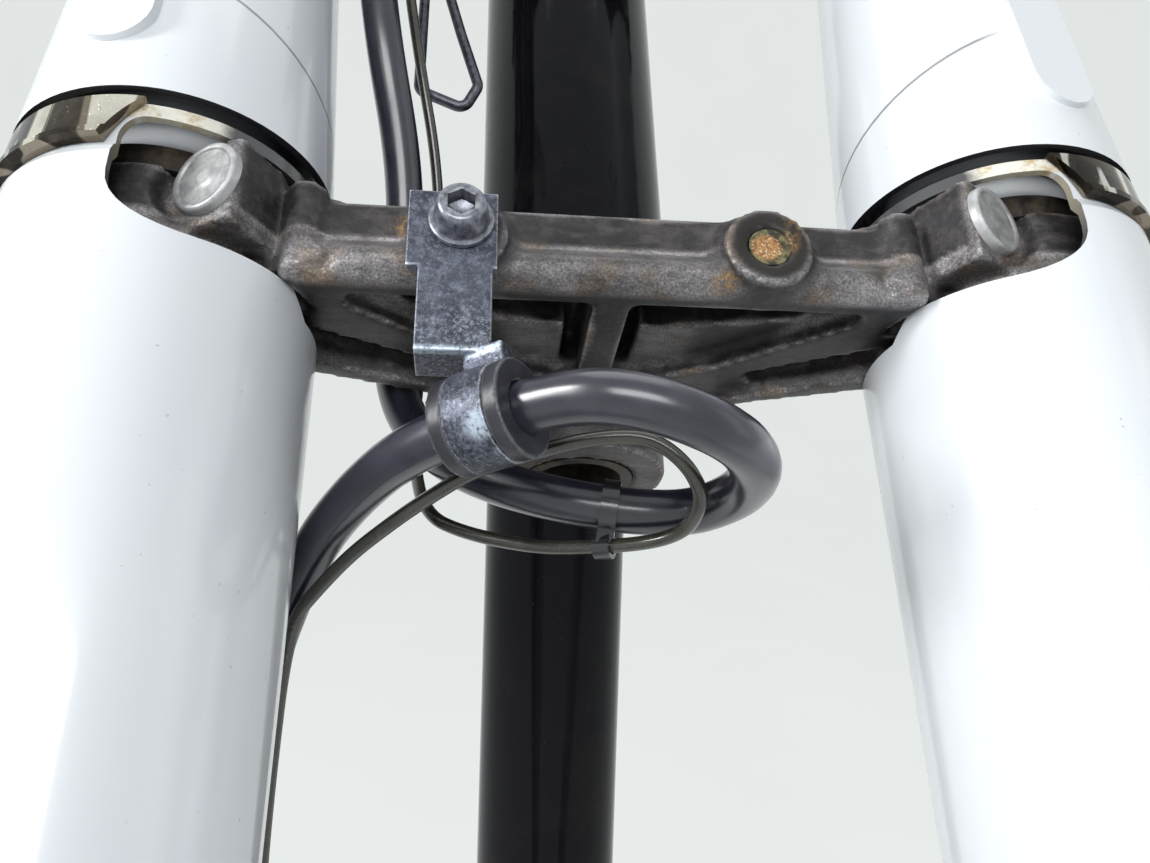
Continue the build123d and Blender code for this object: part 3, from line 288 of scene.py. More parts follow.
def cover_paint(name, window=False):
    """Gloss pale paint with a few specks and painted shade inside its skirt, or its window's neck stained, with
    painted shade where it turns in under the yoke, and its inner faces darker towards the bottom.
    """
    n = Nodes(name)
    cloud = n.ramp(n.noise(70.0, 3.0), 0.3, 0.7)
    colour = n.mix(cloud, rgb(0.745, 0.785, 0.825), rgb(0.78, 0.815, 0.845))
    specks = n.times(n.ramp(n.noise(1.1, 1.0), 0.76, 0.80), n.ramp(n.noise(14.0, 2.0), 0.45, 0.6))
    colour = n.mix(n.times(specks, 0.5), colour, rgb(0.25, 0.24, 0.22))
    height = n.axes()["Z"]
    facing = n.outward()
    if window:
        neck = n.times(n.ramp(height, 7.2, 7.9), n.ramp(height, 12.4, 11.6))
        stain = n.ramp(n.noise(5.0, 5.0, 0.7), 0.50, 0.64)
        cream = n.mix(stain, rgb(0.82, 0.80, 0.70), rgb(0.55, 0.40, 0.17))
        cream = n.mix(n.times(n.ramp(facing, 0.35, 0.1), 0.6), cream, rgb(0.32, 0.27, 0.18))
        # Round towards the fork's middle the neck turns near-black: painted shade where it lies hidden under the
        # yoke.
        grime_and_shade = n.ramp(n.math("ADD", n.from_front(), n.times(n.noise(4.0), 0.2)), 0.60, 0.72)
        cream = n.mix(grime_and_shade, cream, rgb(0.022, 0.021, 0.024))
        colour = n.mix(n.times(neck, 0.93), colour, cream)
        # The window's cut edges and the cover's inner faces run from tan near the neck to near-black towards the
        # bottom.
        cut = n.times(n.ramp(height, 7.6, 7.0), n.ramp(height, -26.0, -24.0))
        cut = n.times(n.ramp(facing, 0.6, 0.35), cut)
        inner_tone = n.mix(n.ramp(height, -8.0, 6.0), rgb(0.05, 0.045, 0.042), rgb(0.40, 0.35, 0.24))
        colour = n.mix(n.times(cut, 0.9), colour, inner_tone)
    else:
        turn = n.from_front()
        level = n.math("SUBTRACT", height, n.math("SUBTRACT", SEAM_Z, n.times(turn, SEAM_FALL)))
        seam = n.times(n.ramp(n.math("ABSOLUTE", level), 0.55, 0.2),
                       n.times(n.ramp(turn, 0.1, 0.3), n.ramp(turn, 2.1, 1.9)))
        colour = n.mix(n.times(seam, 0.75), colour, rgb(0.10, 0.10, 0.11))
        # Inside the skirt the paint turns near-black, as painted shade under its overhang.
        skirt = n.times(n.ramp(height, 10.0, 12.5), n.ramp(height, 24.0, 20.0))
        inside = n.times(n.ramp(facing, 0.55, 0.3), skirt)
        colour = n.mix(inside, colour, rgb(0.028, 0.028, 0.034))
    n.set(Base_Color=colour, Roughness=0.2, Coat_Weight=0.5, Coat_Roughness=0.06,
          Normal=n.bump(n.noise(4.0, 2.0), 0.02, 0.0004))
    return n.material


def cast_black(name, worn):
    """Rough black-brown casting: pale speckle on its edges and worn flats, with a painted highlight where the lip
    is marked, dust in its hollows, painted shade on faces turned down, darker marked patches and spots of rust.
    """
    n = Nodes(name)
    wear = n.attribute("wear")
    wear_and_highlight = n.attribute("wear_and_highlight")
    shade = n.attribute("shade")
    grain = n.noise(1.3, 4.0, 0.65)
    fine = n.noise(0.45, 3.0, 0.6)
    broad = n.noise(19.0, 5.0, 0.6)
    colour = n.mix(n.ramp(broad, 0.35, 0.68), rgb(0.012, 0.011, 0.013), rgb(0.040, 0.037, 0.040))
    colour = n.mix(n.ramp(n.noise(6.0, 6.0, 0.7), 0.48, 0.7, 0.0, 0.7), colour, rgb(0.085, 0.077, 0.076))
    streak = n.times(n.ramp(n.noise(2.4, 5.0, 0.7, stretch=(0.35, 1.0, 1.0)), 0.5, 0.72), 0.45)
    colour = n.mix(streak, colour, rgb(0.13, 0.118, 0.11))
    dust = n.times(n.ramp(wear, -0.04, -0.22), n.ramp(n.noise(4.0, 5.0, 0.7), 0.4, 0.6))
    colour = n.mix(n.times(dust, 0.45), colour, rgb(0.13, 0.11, 0.088))
    shade = n.times(n.times(shade, 0.62), n.math("SUBTRACT", 1.0, wear_and_highlight))
    colour = n.mix(shade, colour, rgb(0.008, 0.007, 0.008))
    speckle = n.ramp(n.noise(0.5, 4.0, 0.75), 0.40, 0.62, 0.3, 1.0)
    edges = n.ramp(n.math("ADD", wear, n.times(n.math("SUBTRACT", broad, 0.5), 0.4)), 0.05, 0.22)
    # Flats take the pale worn metal where the yoke is marked, with the painted highlight on its lip.
    flats = n.times(wear_and_highlight, n.ramp(n.noise(5.0, 6.0, 0.75, stretch=(0.5, 1.0, 1.0)), 0.32, 0.62, 0.2, 1.0))
    # Where marked, as on the face round the yoke's boss, the casting is darkened.
    grime_and_shade = n.times(n.attribute("grime_and_shade"), n.ramp(n.noise(3.0, 4.0), 0.25, 0.45, 0.7, 1.0))
    clean = n.times(n.math("SUBTRACT", 1.0, grime_and_shade), worn)
    rubbed = n.times(n.times(n.math("MAXIMUM", edges, flats), speckle), clean)
    colour = n.mix(n.times(grime_and_shade, 0.85), colour, rgb(0.013, 0.011, 0.009))
    bare = n.mix(n.ramp(n.noise(9.0, 3.0), 0.5, 0.66), rgb(0.52, 0.50, 0.51), rgb(0.42, 0.33, 0.25))
    colour = n.mix(rubbed, colour, bare)
    rust = n.times(n.attribute("rust"), n.ramp(n.noise(1.4, 5.0, 0.75), 0.42, 0.6))
    rusty = n.mix(n.ramp(fine, 0.4, 0.6), rgb(0.17, 0.075, 0.022), rgb(0.36, 0.25, 0.10))
    colour = n.mix(rust, colour, rusty)
    height = n.math("ADD", n.times(grain, 0.5), n.times(fine, 0.5))
    n.set(Base_Color=colour, Metallic=n.ramp(rubbed, 0.0, 1.0, 0.1, 0.5),
          Roughness=n.ramp(grain, 0.3, 0.7, 0.34, 0.5), Specular_IOR_Level=0.32,
          Normal=n.bump(height, 0.5, 0.0003))
    return n.material


def chrome_trim(name):
    """Old chrome with painted reflections: broad dark and pale zones round the leg and thin pale streaks, with a
    brown haze and pits.
    """
    n = Nodes(name)
    painted_reflection = n.noise(9.0, 1.0, 0.5, stretch=(1.0, 1.0, 0.08), distort=0.4)
    streak = n.ramp(n.noise(5.0, 2.0, 0.5, stretch=(1.0, 1.0, 0.2)), 0.60, 0.64)
    haze = n.ramp(n.noise(9.0, 5.0, 0.65), 0.42, 0.66)
    wall = n.ramp(n.outward(), 0.6, 0.8)
    # The dark and pale zones and the pale streaks are painted reflections.
    colour = n.mix(n.ramp(painted_reflection, 0.48, 0.51), rgb(0.026, 0.022, 0.018), rgb(0.26, 0.225, 0.175))
    colour = n.mix(n.times(n.ramp(painted_reflection, 0.575, 0.595), wall), colour, rgb(0.88, 0.83, 0.72))
    colour = n.mix(n.times(n.times(streak, wall), 0.8), colour, rgb(0.84, 0.81, 0.74))
    colour = n.mix(n.times(haze, 0.35), colour, rgb(0.22, 0.17, 0.12))
    pits = n.ramp(n.noise(0.7, 3.0), 0.66, 0.72)
    colour = n.mix(pits, colour, rgb(0.10, 0.06, 0.03))
    n.set(Base_Color=colour, Metallic=1.0, Roughness=n.ramp(haze, 0.0, 1.0, 0.05, 0.18),
          Normal=n.bump(pits, 0.3, 0.0002))
    return n.material


def plated_steel(name, dark, light, rough=0.4):
    """Plated or painted steel with small blotches and bright rubbed edges."""
    n = Nodes(name)
    spots = n.noise(1.8, 5.0, 0.7)
    colour = n.mix(n.ramp(spots, 0.36, 0.64), dark, light)
    rubbed = n.times(n.ramp(n.attribute("wear"), 0.06, 0.22), n.ramp(spots, 0.4, 0.55))
    colour = n.mix(rubbed, colour, rgb(0.72, 0.73, 0.76))
    n.set(Base_Color=colour, Metallic=0.85, Roughness=n.ramp(spots, 0.3, 0.7, rough - 0.1, rough + 0.12),
          Normal=n.bump(spots, 0.15, 0.0002))
    return n.material


def zinc_strap(name):
    """Dull blue-grey zinc, dark and finely mottled above, with white bloom and pits towards its foot, where the
    thicker pale bloom is partly painted light.
    """
    n = Nodes(name)
    height = n.axes()["Z"]
    low = n.ramp(n.math("ADD", height, n.times(n.noise(8.0, 4.0), 14.0)), -19.0, -32.0)
    blotch = n.noise(3.4, 6.0, 0.75)
    bloom = n.noise(0.75, 5.0, 0.8)
    colour = n.mix(n.ramp(n.noise(12.0, 4.0), 0.38, 0.62), rgb(0.033, 0.036, 0.052), rgb(0.072, 0.078, 0.106))
    colour = n.mix(n.ramp(blotch, 0.46, 0.60, 0.0, 0.8), colour, rgb(0.15, 0.16, 0.215))
    # Pale mottle thickens towards the foot: partly the zinc's own bloom, partly painted light on the strap's lower
    # face.
    painted_foot_light = n.times(n.ramp(low, 0.0, 1.0, 0.2, 0.7), n.ramp(height, -42.0, -45.0, 1.0, 0.45))
    share = n.times(n.ramp(bloom, 0.52, 0.62), painted_foot_light)
    colour = n.mix(share, colour, rgb(0.46, 0.51, 0.60))
    pits = n.times(n.ramp(n.noise(0.8, 4.0, 0.7), 0.53, 0.62), n.ramp(low, 0.0, 1.0, 0.3, 0.85))
    colour = n.mix(pits, colour, rgb(0.012, 0.013, 0.020))
    wear = n.times(n.ramp(n.attribute("wear"), 0.07, 0.2), n.ramp(bloom, 0.36, 0.5))
    colour = n.mix(wear, colour, rgb(0.62, 0.66, 0.72))
    # The marked bend and patch turn pale blue-grey: the bend's line a painted highlight, the patch worn.
    colour = n.mix(n.times(n.attribute("wear_and_highlight"), n.ramp(bloom, 0.35, 0.5)), colour, rgb(0.50, 0.58, 0.68))
    n.set(Base_Color=colour, Metallic=0.5, Roughness=n.ramp(blotch, 0.3, 0.7, 0.28, 0.46),
          Normal=n.bump(n.math("ADD", blotch, n.times(bloom, 0.5)), 0.4, 0.0003))
    return n.material


def slider_alloy(name):
    """Turned alloy with fine rings and light stains."""
    n = Nodes(name)
    rings = n.noise(1.2, 3.0, 0.6, stretch=(0.05, 0.05, 1.0))
    stain = n.ramp(n.noise(30.0, 5.0, 0.65), 0.45, 0.7)
    n.set(Base_Color=n.mix(n.times(stain, 0.5), rgb(0.50, 0.51, 0.53), rgb(0.34, 0.33, 0.31)), Metallic=1.0,
          Roughness=n.ramp(rings, 0.3, 0.7, 0.30, 0.38), Normal=n.bump(rings, 0.02, 0.0001))
    return n.material


def frame_black(name):
    """Gloss black enamel with a slight orange peel, dust and tiny chips."""
    n = Nodes(name)
    chips = n.ramp(n.noise(1.5, 2.0), 0.75, 0.78)
    dust = n.times(n.ramp(n.noise(25.0, 5.0, 0.7), 0.5, 0.75), 0.5)
    colour = n.mix(dust, rgb(0.004, 0.004, 0.006), rgb(0.016, 0.014, 0.012))
    colour = n.mix(n.times(chips, 0.5), colour, rgb(0.14, 0.12, 0.10))
    n.set(Base_Color=colour, Roughness=n.ramp(dust, 0.0, 0.5, 0.09, 0.22), Specular_IOR_Level=0.12,
          Normal=n.bump(n.noise(7.0, 2.0), 0.10, 0.0006))
    return n.material


def hose_rubber(name, dark, light, gloss=0.26):
    """Smooth rubber with a blue-grey bloom and faint scuffs."""
    n = Nodes(name)
    scuff = n.noise(8.0, 5.0, 0.6)
    colour = n.mix(n.ramp(scuff, 0.38, 0.68), dark, light)
    n.set(Base_Color=colour, Roughness=n.ramp(scuff, 0.3, 0.7, gloss, gloss + 0.1),
          Specular_IOR_Level=0.55, Coat_Weight=0.7, Coat_Roughness=0.19,
          Normal=n.bump(n.noise(1.5, 3.0), 0.04, 0.0003))
    return n.material


def matt_rubber(name):
    """Moulded rubber, greyed, with paler rubbed rims."""
    n = Nodes(name)
    grain = n.noise(1.0, 3.0, 0.6)
    colour = n.mix(n.ramp(n.noise(6.0, 4.0), 0.35, 0.65), rgb(0.014, 0.014, 0.019), rgb(0.034, 0.035, 0.045))
    rim = n.times(n.ramp(n.attribute("wear"), 0.04, 0.16), n.ramp(grain, 0.3, 0.6, 0.4, 0.9))
    colour = n.mix(rim, colour, rgb(0.15, 0.155, 0.185))
    n.set(Base_Color=colour, Roughness=0.36, Normal=n.bump(grain, 0.12, 0.0003))
    return n.material


def dark_steel(name):
    """Oily dark steel with brown grime."""
    n = Nodes(name)
    grime_and_shade = n.noise(5.0, 5.0, 0.7)
    n.set(Base_Color=n.mix(n.ramp(grime_and_shade, 0.4, 0.65), rgb(0.018, 0.017, 0.017), rgb(0.075, 0.058, 0.040)),
          Metallic=0.5, Roughness=n.ramp(grime_and_shade, 0.3, 0.7, 0.35, 0.6), Normal=n.bump(grime_and_shade, 0.2, 0.0004))
    return n.material


def bolt_face(name):
    """Pale dull plating, smudged, with a darker line inside the rim."""
    n = Nodes(name)
    smudge = n.noise(3.2, 5.0, 0.65)
    colour = n.mix(n.ramp(smudge, 0.38, 0.64), rgb(0.25, 0.255, 0.26), rgb(0.46, 0.47, 0.47))
    line = n.ramp(n.attribute("wear"), -0.03, -0.10)
    colour = n.mix(n.times(line, 0.8), colour, rgb(0.16, 0.16, 0.155))
    colour = n.mix(n.times(n.ramp(n.attribute("wear"), 0.05, 0.14), 0.8), colour, rgb(0.76, 0.77, 0.78))
    n.set(Base_Color=colour, Metallic=0.25, Roughness=0.42, Normal=n.bump(smudge, 0.12, 0.0003))
    return n.material


def rusty_thread(name):
    """Orange crust in the middle of a dark hole, with an olive stain round it."""
    n = Nodes(name)
    crust = n.noise(0.9, 5.0, 0.75)
    colour = n.mix(n.ramp(crust, 0.35, 0.6), rgb(0.13, 0.045, 0.014), rgb(0.50, 0.27, 0.09))
    colour = n.mix(n.ramp(n.noise(0.5, 3.0), 0.56, 0.64), colour, rgb(0.72, 0.60, 0.42))
    at = n.axes()
    across = n.math("SUBTRACT", at["X"], BOSS_X - 0.7)
    up = n.math("SUBTRACT", at["Z"], BOSS_Z - 0.2)
    away = n.math("SQRT", n.math("ADD", n.times(across, across), n.times(up, up)))
    away = n.math("ADD", away, n.times(n.math("SUBTRACT", crust, 0.5), 3.0))
    olive = n.mix(n.ramp(n.noise(2.0, 4.0), 0.42, 0.6), rgb(0.030, 0.026, 0.018), rgb(0.21, 0.19, 0.085))
    colour = n.mix(n.ramp(away, 2.7, 3.3), colour, olive)
    n.set(Base_Color=colour, Roughness=0.7, Normal=n.bump(crust, 0.8, 0.0006))
    return n.material


MATERIALS = {
    "cover_white": cover_paint("cover_white"), "yoke_casting": cast_black("yoke_casting", 0.95),
    "top_casting": cast_black("top_casting", 0.5), "chrome_trim": chrome_trim("chrome_trim"),
    "hard_chrome": slider_alloy("hard_chrome"), "slider_alloy": slider_alloy("slider_alloy"),
    "zinc_strap": zinc_strap("zinc_strap"),
    "plated_steel": plated_steel("plated_steel", rgb(0.20, 0.20, 0.21), rgb(0.42, 0.43, 0.45)),
    "hose_black": hose_rubber("hose_black", rgb(0.010, 0.010, 0.020), rgb(0.022, 0.023, 0.040)),
    "rubber_black": matt_rubber("rubber_black"), "frame_black": frame_black("frame_black"),
}
LOWER_COVER_PAINT = cover_paint("lower_cover_paint", window=True)
GUIDE_PAINT = plated_steel("guide_paint", rgb(0.055, 0.057, 0.070), rgb(0.135, 0.138, 0.165), 0.42)
BOLT_ZINC = bolt_face("bolt_zinc")
SCREW_STEEL = plated_steel("screw_steel", rgb(0.13, 0.133, 0.155), rgb(0.34, 0.35, 0.40), 0.36)
CABLE_SKIN = hose_rubber("cable_skin", rgb(0.020, 0.020, 0.014), rgb(0.052, 0.050, 0.034), 0.22)
TIE_BLACK = hose_rubber("tie_black", rgb(0.010, 0.010, 0.013), rgb(0.020, 0.020, 0.026), 0.18)
DARK_STEEL = dark_steel("dark_steel")
RUSTY_THREAD = rusty_thread("rusty_thread")
PLATED_STEEL = MATERIALS["plated_steel"]
HOSE_BLACK = MATERIALS["hose_black"]
NODE_MATERIALS = {"lower_cover_right": LOWER_COVER_PAINT, "lower_cover_left": LOWER_COVER_PAINT,
                  "wire_guide": GUIDE_PAINT, "steering_stem": DARK_STEEL, "lower_bearing_cone": DARK_STEEL,
                  "cable_tie": TIE_BLACK}


def dress_nodes():
    """Gives each CAD node the material of its slot, or its own."""
    for part in frame["record"]["subparts"]:
        name = part["node"]
        NODES[name].data.materials.clear()
        NODES[name].data.materials.append(NODE_MATERIALS.get(name, MATERIALS[part["material_slot"]]))


def ride(piece, node=None):
    """Puts a piece on the fork and the node that it stands for."""
    if piece.name not in bpy.context.scene.collection.objects:
        bpy.context.scene.collection.objects.link(piece)
    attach(piece, "fork")
    if node:
        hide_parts(node)
    return piece


def vertex_wear(mesh):
    """Each vertex's wear and place. Wear is above 0 on edges, which stand out, and below 0 in hollows."""
    count = len(mesh.vertices)
    place = np.empty(count * 3)
    normal = np.empty(count * 3)
    ends = np.empty(len(mesh.edges) * 2, dtype=int)
    mesh.vertices.foreach_get("co", place)
    mesh.vertices.foreach_get("normal", normal)
    mesh.edges.foreach_get("vertices", ends)
    place, normal, ends = place.reshape(-1, 3), normal.reshape(-1, 3), ends.reshape(-1, 2)
    start = np.concatenate((ends[:, 0], ends[:, 1]))
    stop = np.concatenate((ends[:, 1], ends[:, 0]))
    step = place[stop] - place[start]
    drop = -(step * normal[start]).sum(axis=1) / np.maximum(np.linalg.norm(step, axis=1), 1e-9)
    number = np.maximum(np.bincount(start, minlength=count), 1)
    wear = np.bincount(start, weights=drop, minlength=count) / number
    for _ in range(2):
        wear = 0.5 * wear + 0.5 * np.bincount(start, weights=wear[stop], minlength=count) / number
    return wear, place


def in_fork(place):
    """Points in metres as the fork's own millimetres."""
    back = np.array(FORK.inverted())
    return place @ back[:3, :3].T + back[:3, 3]


def near(place, spots):
    """How near each point is to the spots given as centre and radius: 1 in the middle, 0 outside."""
    share = np.zeros(len(place))
    for centre, radius in spots:
        away = np.linalg.norm(place - np.array(centre), axis=1) / radius
        share = np.maximum(share, np.clip(1.6 - 1.6 * away, 0, 1))
    return share


def step_up(value, low, high):
    """Runs from 0 to 1 as the value goes from low to high."""
    return np.clip((value - low) / (high - low), 0, 1)


def yoke_wear_and_highlight(place):
    """Where the lower yoke is rubbed pale: its lip and ledge, its webs, its rear rim and its lugs, with a painted
    highlight on the lip's lower rounding.
    """
    x, y, z = place.T
    front = step_up(y, -67.5, -69.5)
    lip = step_up(z, LIP_TOP + 0.6, LIP_TOP - 0.6) * step_up(z, LIP_BOTTOM - 0.5, LIP_BOTTOM + 0.5)
    lip *= front * step_up(np.abs(x), 20.0, 58.0).clip(0.62, 1.0)
    # The lip's lower rounding is made paler than its upper part: a painted highlight.
    lip *= 0.65 + 0.55 * step_up(z, -13.5, -17.0)
    ledge = front * step_up(z, LIP_TOP + 0.8, LIP_TOP + 0.1) * step_up(z, LIP_TOP - 1.6, LIP_TOP - 0.8)
    webs = 0.4 * step_up(y, -66.0, -64.0) * step_up(z, -14.0, -14.8) * step_up(z, -17.5, -16.0)
    rim = 0.25 * step_up(z, -18.6, -19.6) * step_up(y, -55.0, -50.0)
    wear_and_highlight = np.maximum.reduce((lip, ledge, webs, rim))
    for sign in SIDES.values():
        wear_and_highlight *= step_up(np.hypot(x - sign * BOSS_X, z - BOSS_Z), 9.0, 12.5)
        seat, across = bolt_seat(sign, SLIT_TURN, PINCH_Z)
        step = place - np.array(seat)
        deep = step @ np.array(across)
        wide = np.sqrt(np.maximum((step * step).sum(axis=1) - deep * deep, 0))
        wear_and_highlight = np.maximum(wear_and_highlight, 0.75 * step_up(np.abs(deep), 2.5, 1.0) * step_up(wide, 13.0, 8.5))
    return wear_and_highlight


def yoke_dark_face(place):
    """Where the lower yoke is darker: the flat face round the spare boss's hole."""
    x, y, z = place.T
    away = np.hypot(x - BOSS_X, z - BOSS_Z)
    return step_up(away, 8.1, 6.9) * step_up(y, -74.6, -75.4)


def strap_wear_and_highlight(place):
    """A painted highlight along the strap's bend, and a pale worn patch on the band's front."""
    x, y, z = place.T
    # The pale line along the bend is a painted highlight.
    bend = step_up(np.abs(z - BRACKET_BOTTOM), 1.3, 0.4) * step_up(y, -76.5, -77.3) * step_up(x, -22.6, -23.2)
    return np.maximum(near(place, [PALE_PATCH]), bend)


def filler(mesh, points, low, high):
    """Adds an upright block to a mesh, for the remesh to melt into it."""
    bm = bmesh.new()
    bm.from_mesh(mesh)
    rows = [[bm.verts.new(FORK @ Vector((x, y, z))) for x, y in points] for z in (low, high)]
    count = len(points)
    for i in range(count):
        j = (i + 1) % count
        bm.faces.new((rows[0][i], rows[0][j], rows[1][j], rows[1][i]))
    bm.faces.new(list(reversed(rows[0])))
    bm.faces.new(rows[1])
    bm.to_mesh(mesh)
    bm.free()


def yoke_blocks():
    """What the casting has beyond the solid: its beam's rounded ends and the deeper rim behind its arms."""
    blocks = []
    turns = [math.pi * i / 8 for i in range(16)]
    for sign in SIDES.values():
        ring = [(sign * BEAM_END_X + BEAM_END_R * math.cos(turn), BEAM_END_Y + BEAM_END_R * math.sin(turn))
                for turn in turns]
        blocks.append((ring, *BEAM_END_SPAN))
        blocks.append(([(sign * x, y) for x, y in REAR_RIM], *REAR_RIM_SPAN))
    return blocks


def downward(mesh):
    """How much each vertex faces down the fork."""
    facing = np.empty(len(mesh.vertices) * 3)
    mesh.vertices.foreach_get("normal", facing)
    up = np.array(FORK.col[2].to_3d().normalized())
    return step_up(facing.reshape(-1, 3) @ up, -0.1, -0.75)


def drop_crumbs(mesh):
    """Deletes the small loose islands of a mesh."""
    bm = bmesh.new()
    bm.from_mesh(mesh)
    left = set(bm.verts)
    crumbs = []
    while left:
        island = [left.pop()]
        rim = list(island)
        while rim:
            for edge in rim.pop().link_edges:
                for vert in edge.verts:
                    if vert in left:
                        left.discard(vert)
                        island.append(vert)
                        rim.append(vert)
        if len(island) < CRUMB:
            crumbs += island
    bmesh.ops.delete(bm, geom=crumbs, context="VERTS")
    bm.to_mesh(mesh)
    bm.free()
    return mesh


def softened(name, node, slot, voxel, smooth, blocks=(), spots=(), wear_and_highlight=None, grime_and_shade=None):
    """A CAD solid's copy, rounded by a remesh in voxels of that many mm and that many passes of smoothing."""
    copy = bpy.data.objects.new(name, NODES[node].data.copy())
    bpy.context.scene.collection.objects.link(copy)
    for points, low, high in blocks:
        filler(copy.data, points, low, high)
    remesh = copy.modifiers.new("remesh", "REMESH")
    remesh.mode = "VOXEL"
    remesh.voxel_size = voxel * MM
    remesh.use_smooth_shade = True
    relax = copy.modifiers.new("relax", "SMOOTH")
    relax.factor = 0.5
    relax.iterations = smooth
    graph = bpy.context.evaluated_depsgraph_get()
    mesh = bpy.data.meshes.new_from_object(copy.evaluated_get(graph))
    copy.modifiers.clear()
    copy.data = drop_crumbs(mesh)
    wear, place = vertex_wear(mesh)
    place = in_fork(place)
    fields = {"wear": wear, "rust": near(place, spots), "shade": downward(mesh),
              "wear_and_highlight": wear_and_highlight(place) if wear_and_highlight else np.zeros(len(place)),
              "grime_and_shade": grime_and_shade(place) if grime_and_shade else np.zeros(len(place))}
    for field, values in fields.items():
        mesh.attributes.new(field, "FLOAT", "POINT").data.foreach_set("value", values)
    mesh.materials.clear()
    mesh.materials.append(NODE_MATERIALS.get(node, MATERIALS[slot]))
    return ride(copy, node)


def hexagon(flat, turn):
    """A hexagon's radius at an angle, from the distance of its flats from its middle."""
    return flat / math.cos((turn + math.pi / 6) % (math.pi / 3) - math.pi / 6)


def turned(name, origin, axis, rows, material, node=None, sides=72, ring=False):
    """A piece turned from rows of radius and height. A row with a third value is a hexagon."""
    stand = FORK @ Matrix.Translation(origin) @ Vector(axis).to_track_quat("Z", "Y").to_matrix().to_4x4()
    mesh = bpy.data.meshes.new(name)
    bm = bmesh.new()
    rings = []
    for row in rows:
        loop = []
        for i in range(sides):
            turn = 2 * math.pi * i / sides
            radius = hexagon(row[0], turn) if len(row) > 2 else row[0]
            point = Vector((radius * math.cos(turn), radius * math.sin(turn), row[1]))
            loop.append(bm.verts.new(stand @ point))
        rings.append(loop)
    for low, high in zip(rings, rings[1:] + rings[:1] if ring else rings[1:]):
        for i in range(sides):
            j = (i + 1) % sides
            bm.faces.new((low[i], low[j], high[j], high[i]))
    if not ring:
        bm.faces.new(list(reversed(rings[0])))
        bm.faces.new(rings[-1])
    bmesh.ops.recalc_face_normals(bm, faces=bm.faces)
    for face in bm.faces:
        face.smooth = True
    bm.to_mesh(mesh)
    bm.free()
    mesh.set_sharp_from_angle(angle=SHARP_EDGE)
    wear = vertex_wear(mesh)[0] * TURNED_WEAR
    mesh.attributes.new("wear", "FLOAT", "POINT").data.foreach_set("value", wear)
    mesh.materials.append(material)
    return ride(bpy.data.objects.new(name, mesh), node)


def bolt_seat(sign, turn, height):
    """Where a pinch bolt's head sits, and which way it faces."""
    out = (-sign * math.sin(turn), -math.cos(turn))
    across = (-out[1] * sign, out[0] * sign, 0.0)
    seat = (sign * LEG_X + out[0] * PINCH_REACH + across[0] * PINCH_LUG,
            LEG_Y + out[1] * PINCH_REACH + across[1] * PINCH_LUG, height)
    return seat, across


def pinch_bolts():
    """Bolt heads with a raised rim, a flat face and a small cast boss in the middle."""
    rows = [(4.0, -15.0), (4.0, -0.2), (7.5, -0.2), (7.7, 0.0), (7.7, 1.3), (7.5, 1.75), (7.15, 2.0),
            (6.6, 2.0), (6.3, 1.85), (6.1, 1.6), (5.8, 1.55), (4.6, 1.55), (3.2, 1.55), (2.2, 1.55),
            (1.9, 1.67), (1.5, 1.7), (0.4, 1.7)]
    for side, sign in SIDES.items():
        for name, turn, height in (("lower", SLIT_TURN, PINCH_Z), ("upper", math.pi, UPPER_YOKE_MIDDLE)):
            seat, across = bolt_seat(sign, turn, height + PINCH_LIFT)
            node = name + "_pinch_bolt_" + side
            turned("turned_" + node, seat, across, rows, BOLT_ZINC, node)


def clamp_collars():
    """The lower clamps' raised inner rims, given a near-black oily finish that also stands for the shade inside
    the covers' windows.
    """
    rows = [(20.9, 1.6), (20.9, 6.6), (21.2, 7.2), (21.8, 7.5), (23.4, 7.5), (24.0, 7.2), (24.3, 6.6),
            (24.3, 1.6)]
    for side, sign in SIDES.items():
        turned("clamp_collar_" + side, (sign * LEG_X, LEG_Y, 0.0), (0, 0, 1), rows, DARK_STEEL,
               sides=120, ring=True)


def bracket_screw():
    """A socket screw with a tapered head on a washer with a dished edge."""
    rows = [(3.0, -9.0), (3.0, 0.0), (5.9, 0.0), (6.2, 0.25), (6.2, 1.2), (5.9, 1.5), (5.35, 1.5),
            (5.4, 1.8), (5.2, 2.6), (4.75, 4.9), (4.65, 5.5), (4.3, 6.05), (3.9, 6.3), (3.3, 6.3),
            (2.55, 6.2, 6), (2.5, 5.9, 6), (2.5, 3.2, 6), (1.5, 2.8), (0.3, 2.6)]
    turned("socket_screw", (-BOSS_X, SCREW_SEAT, BOSS_Z), (0, -1, 0), rows, SCREW_STEEL,
           "bracket_screw", sides=96)


def boss_thread():
    """The spare boss's thread and the rusty crust at the bottom of it, as a lining inside its hole."""
    rows = [(4.28, -0.6)]
    for i in range(4):
        rows += [(3.8, -0.9 - 0.9 * i), (4.2, -1.35 - 0.9 * i)]
    rows += [(3.7, -4.6), (3.0, -3.9), (2.1, -3.4), (1.2, -3.3), (0.3, -3.5)]
    turned("boss_thread", (BOSS_X, BOSS_FACE, BOSS_Z), (0, -1, 0), rows, RUSTY_THREAD)


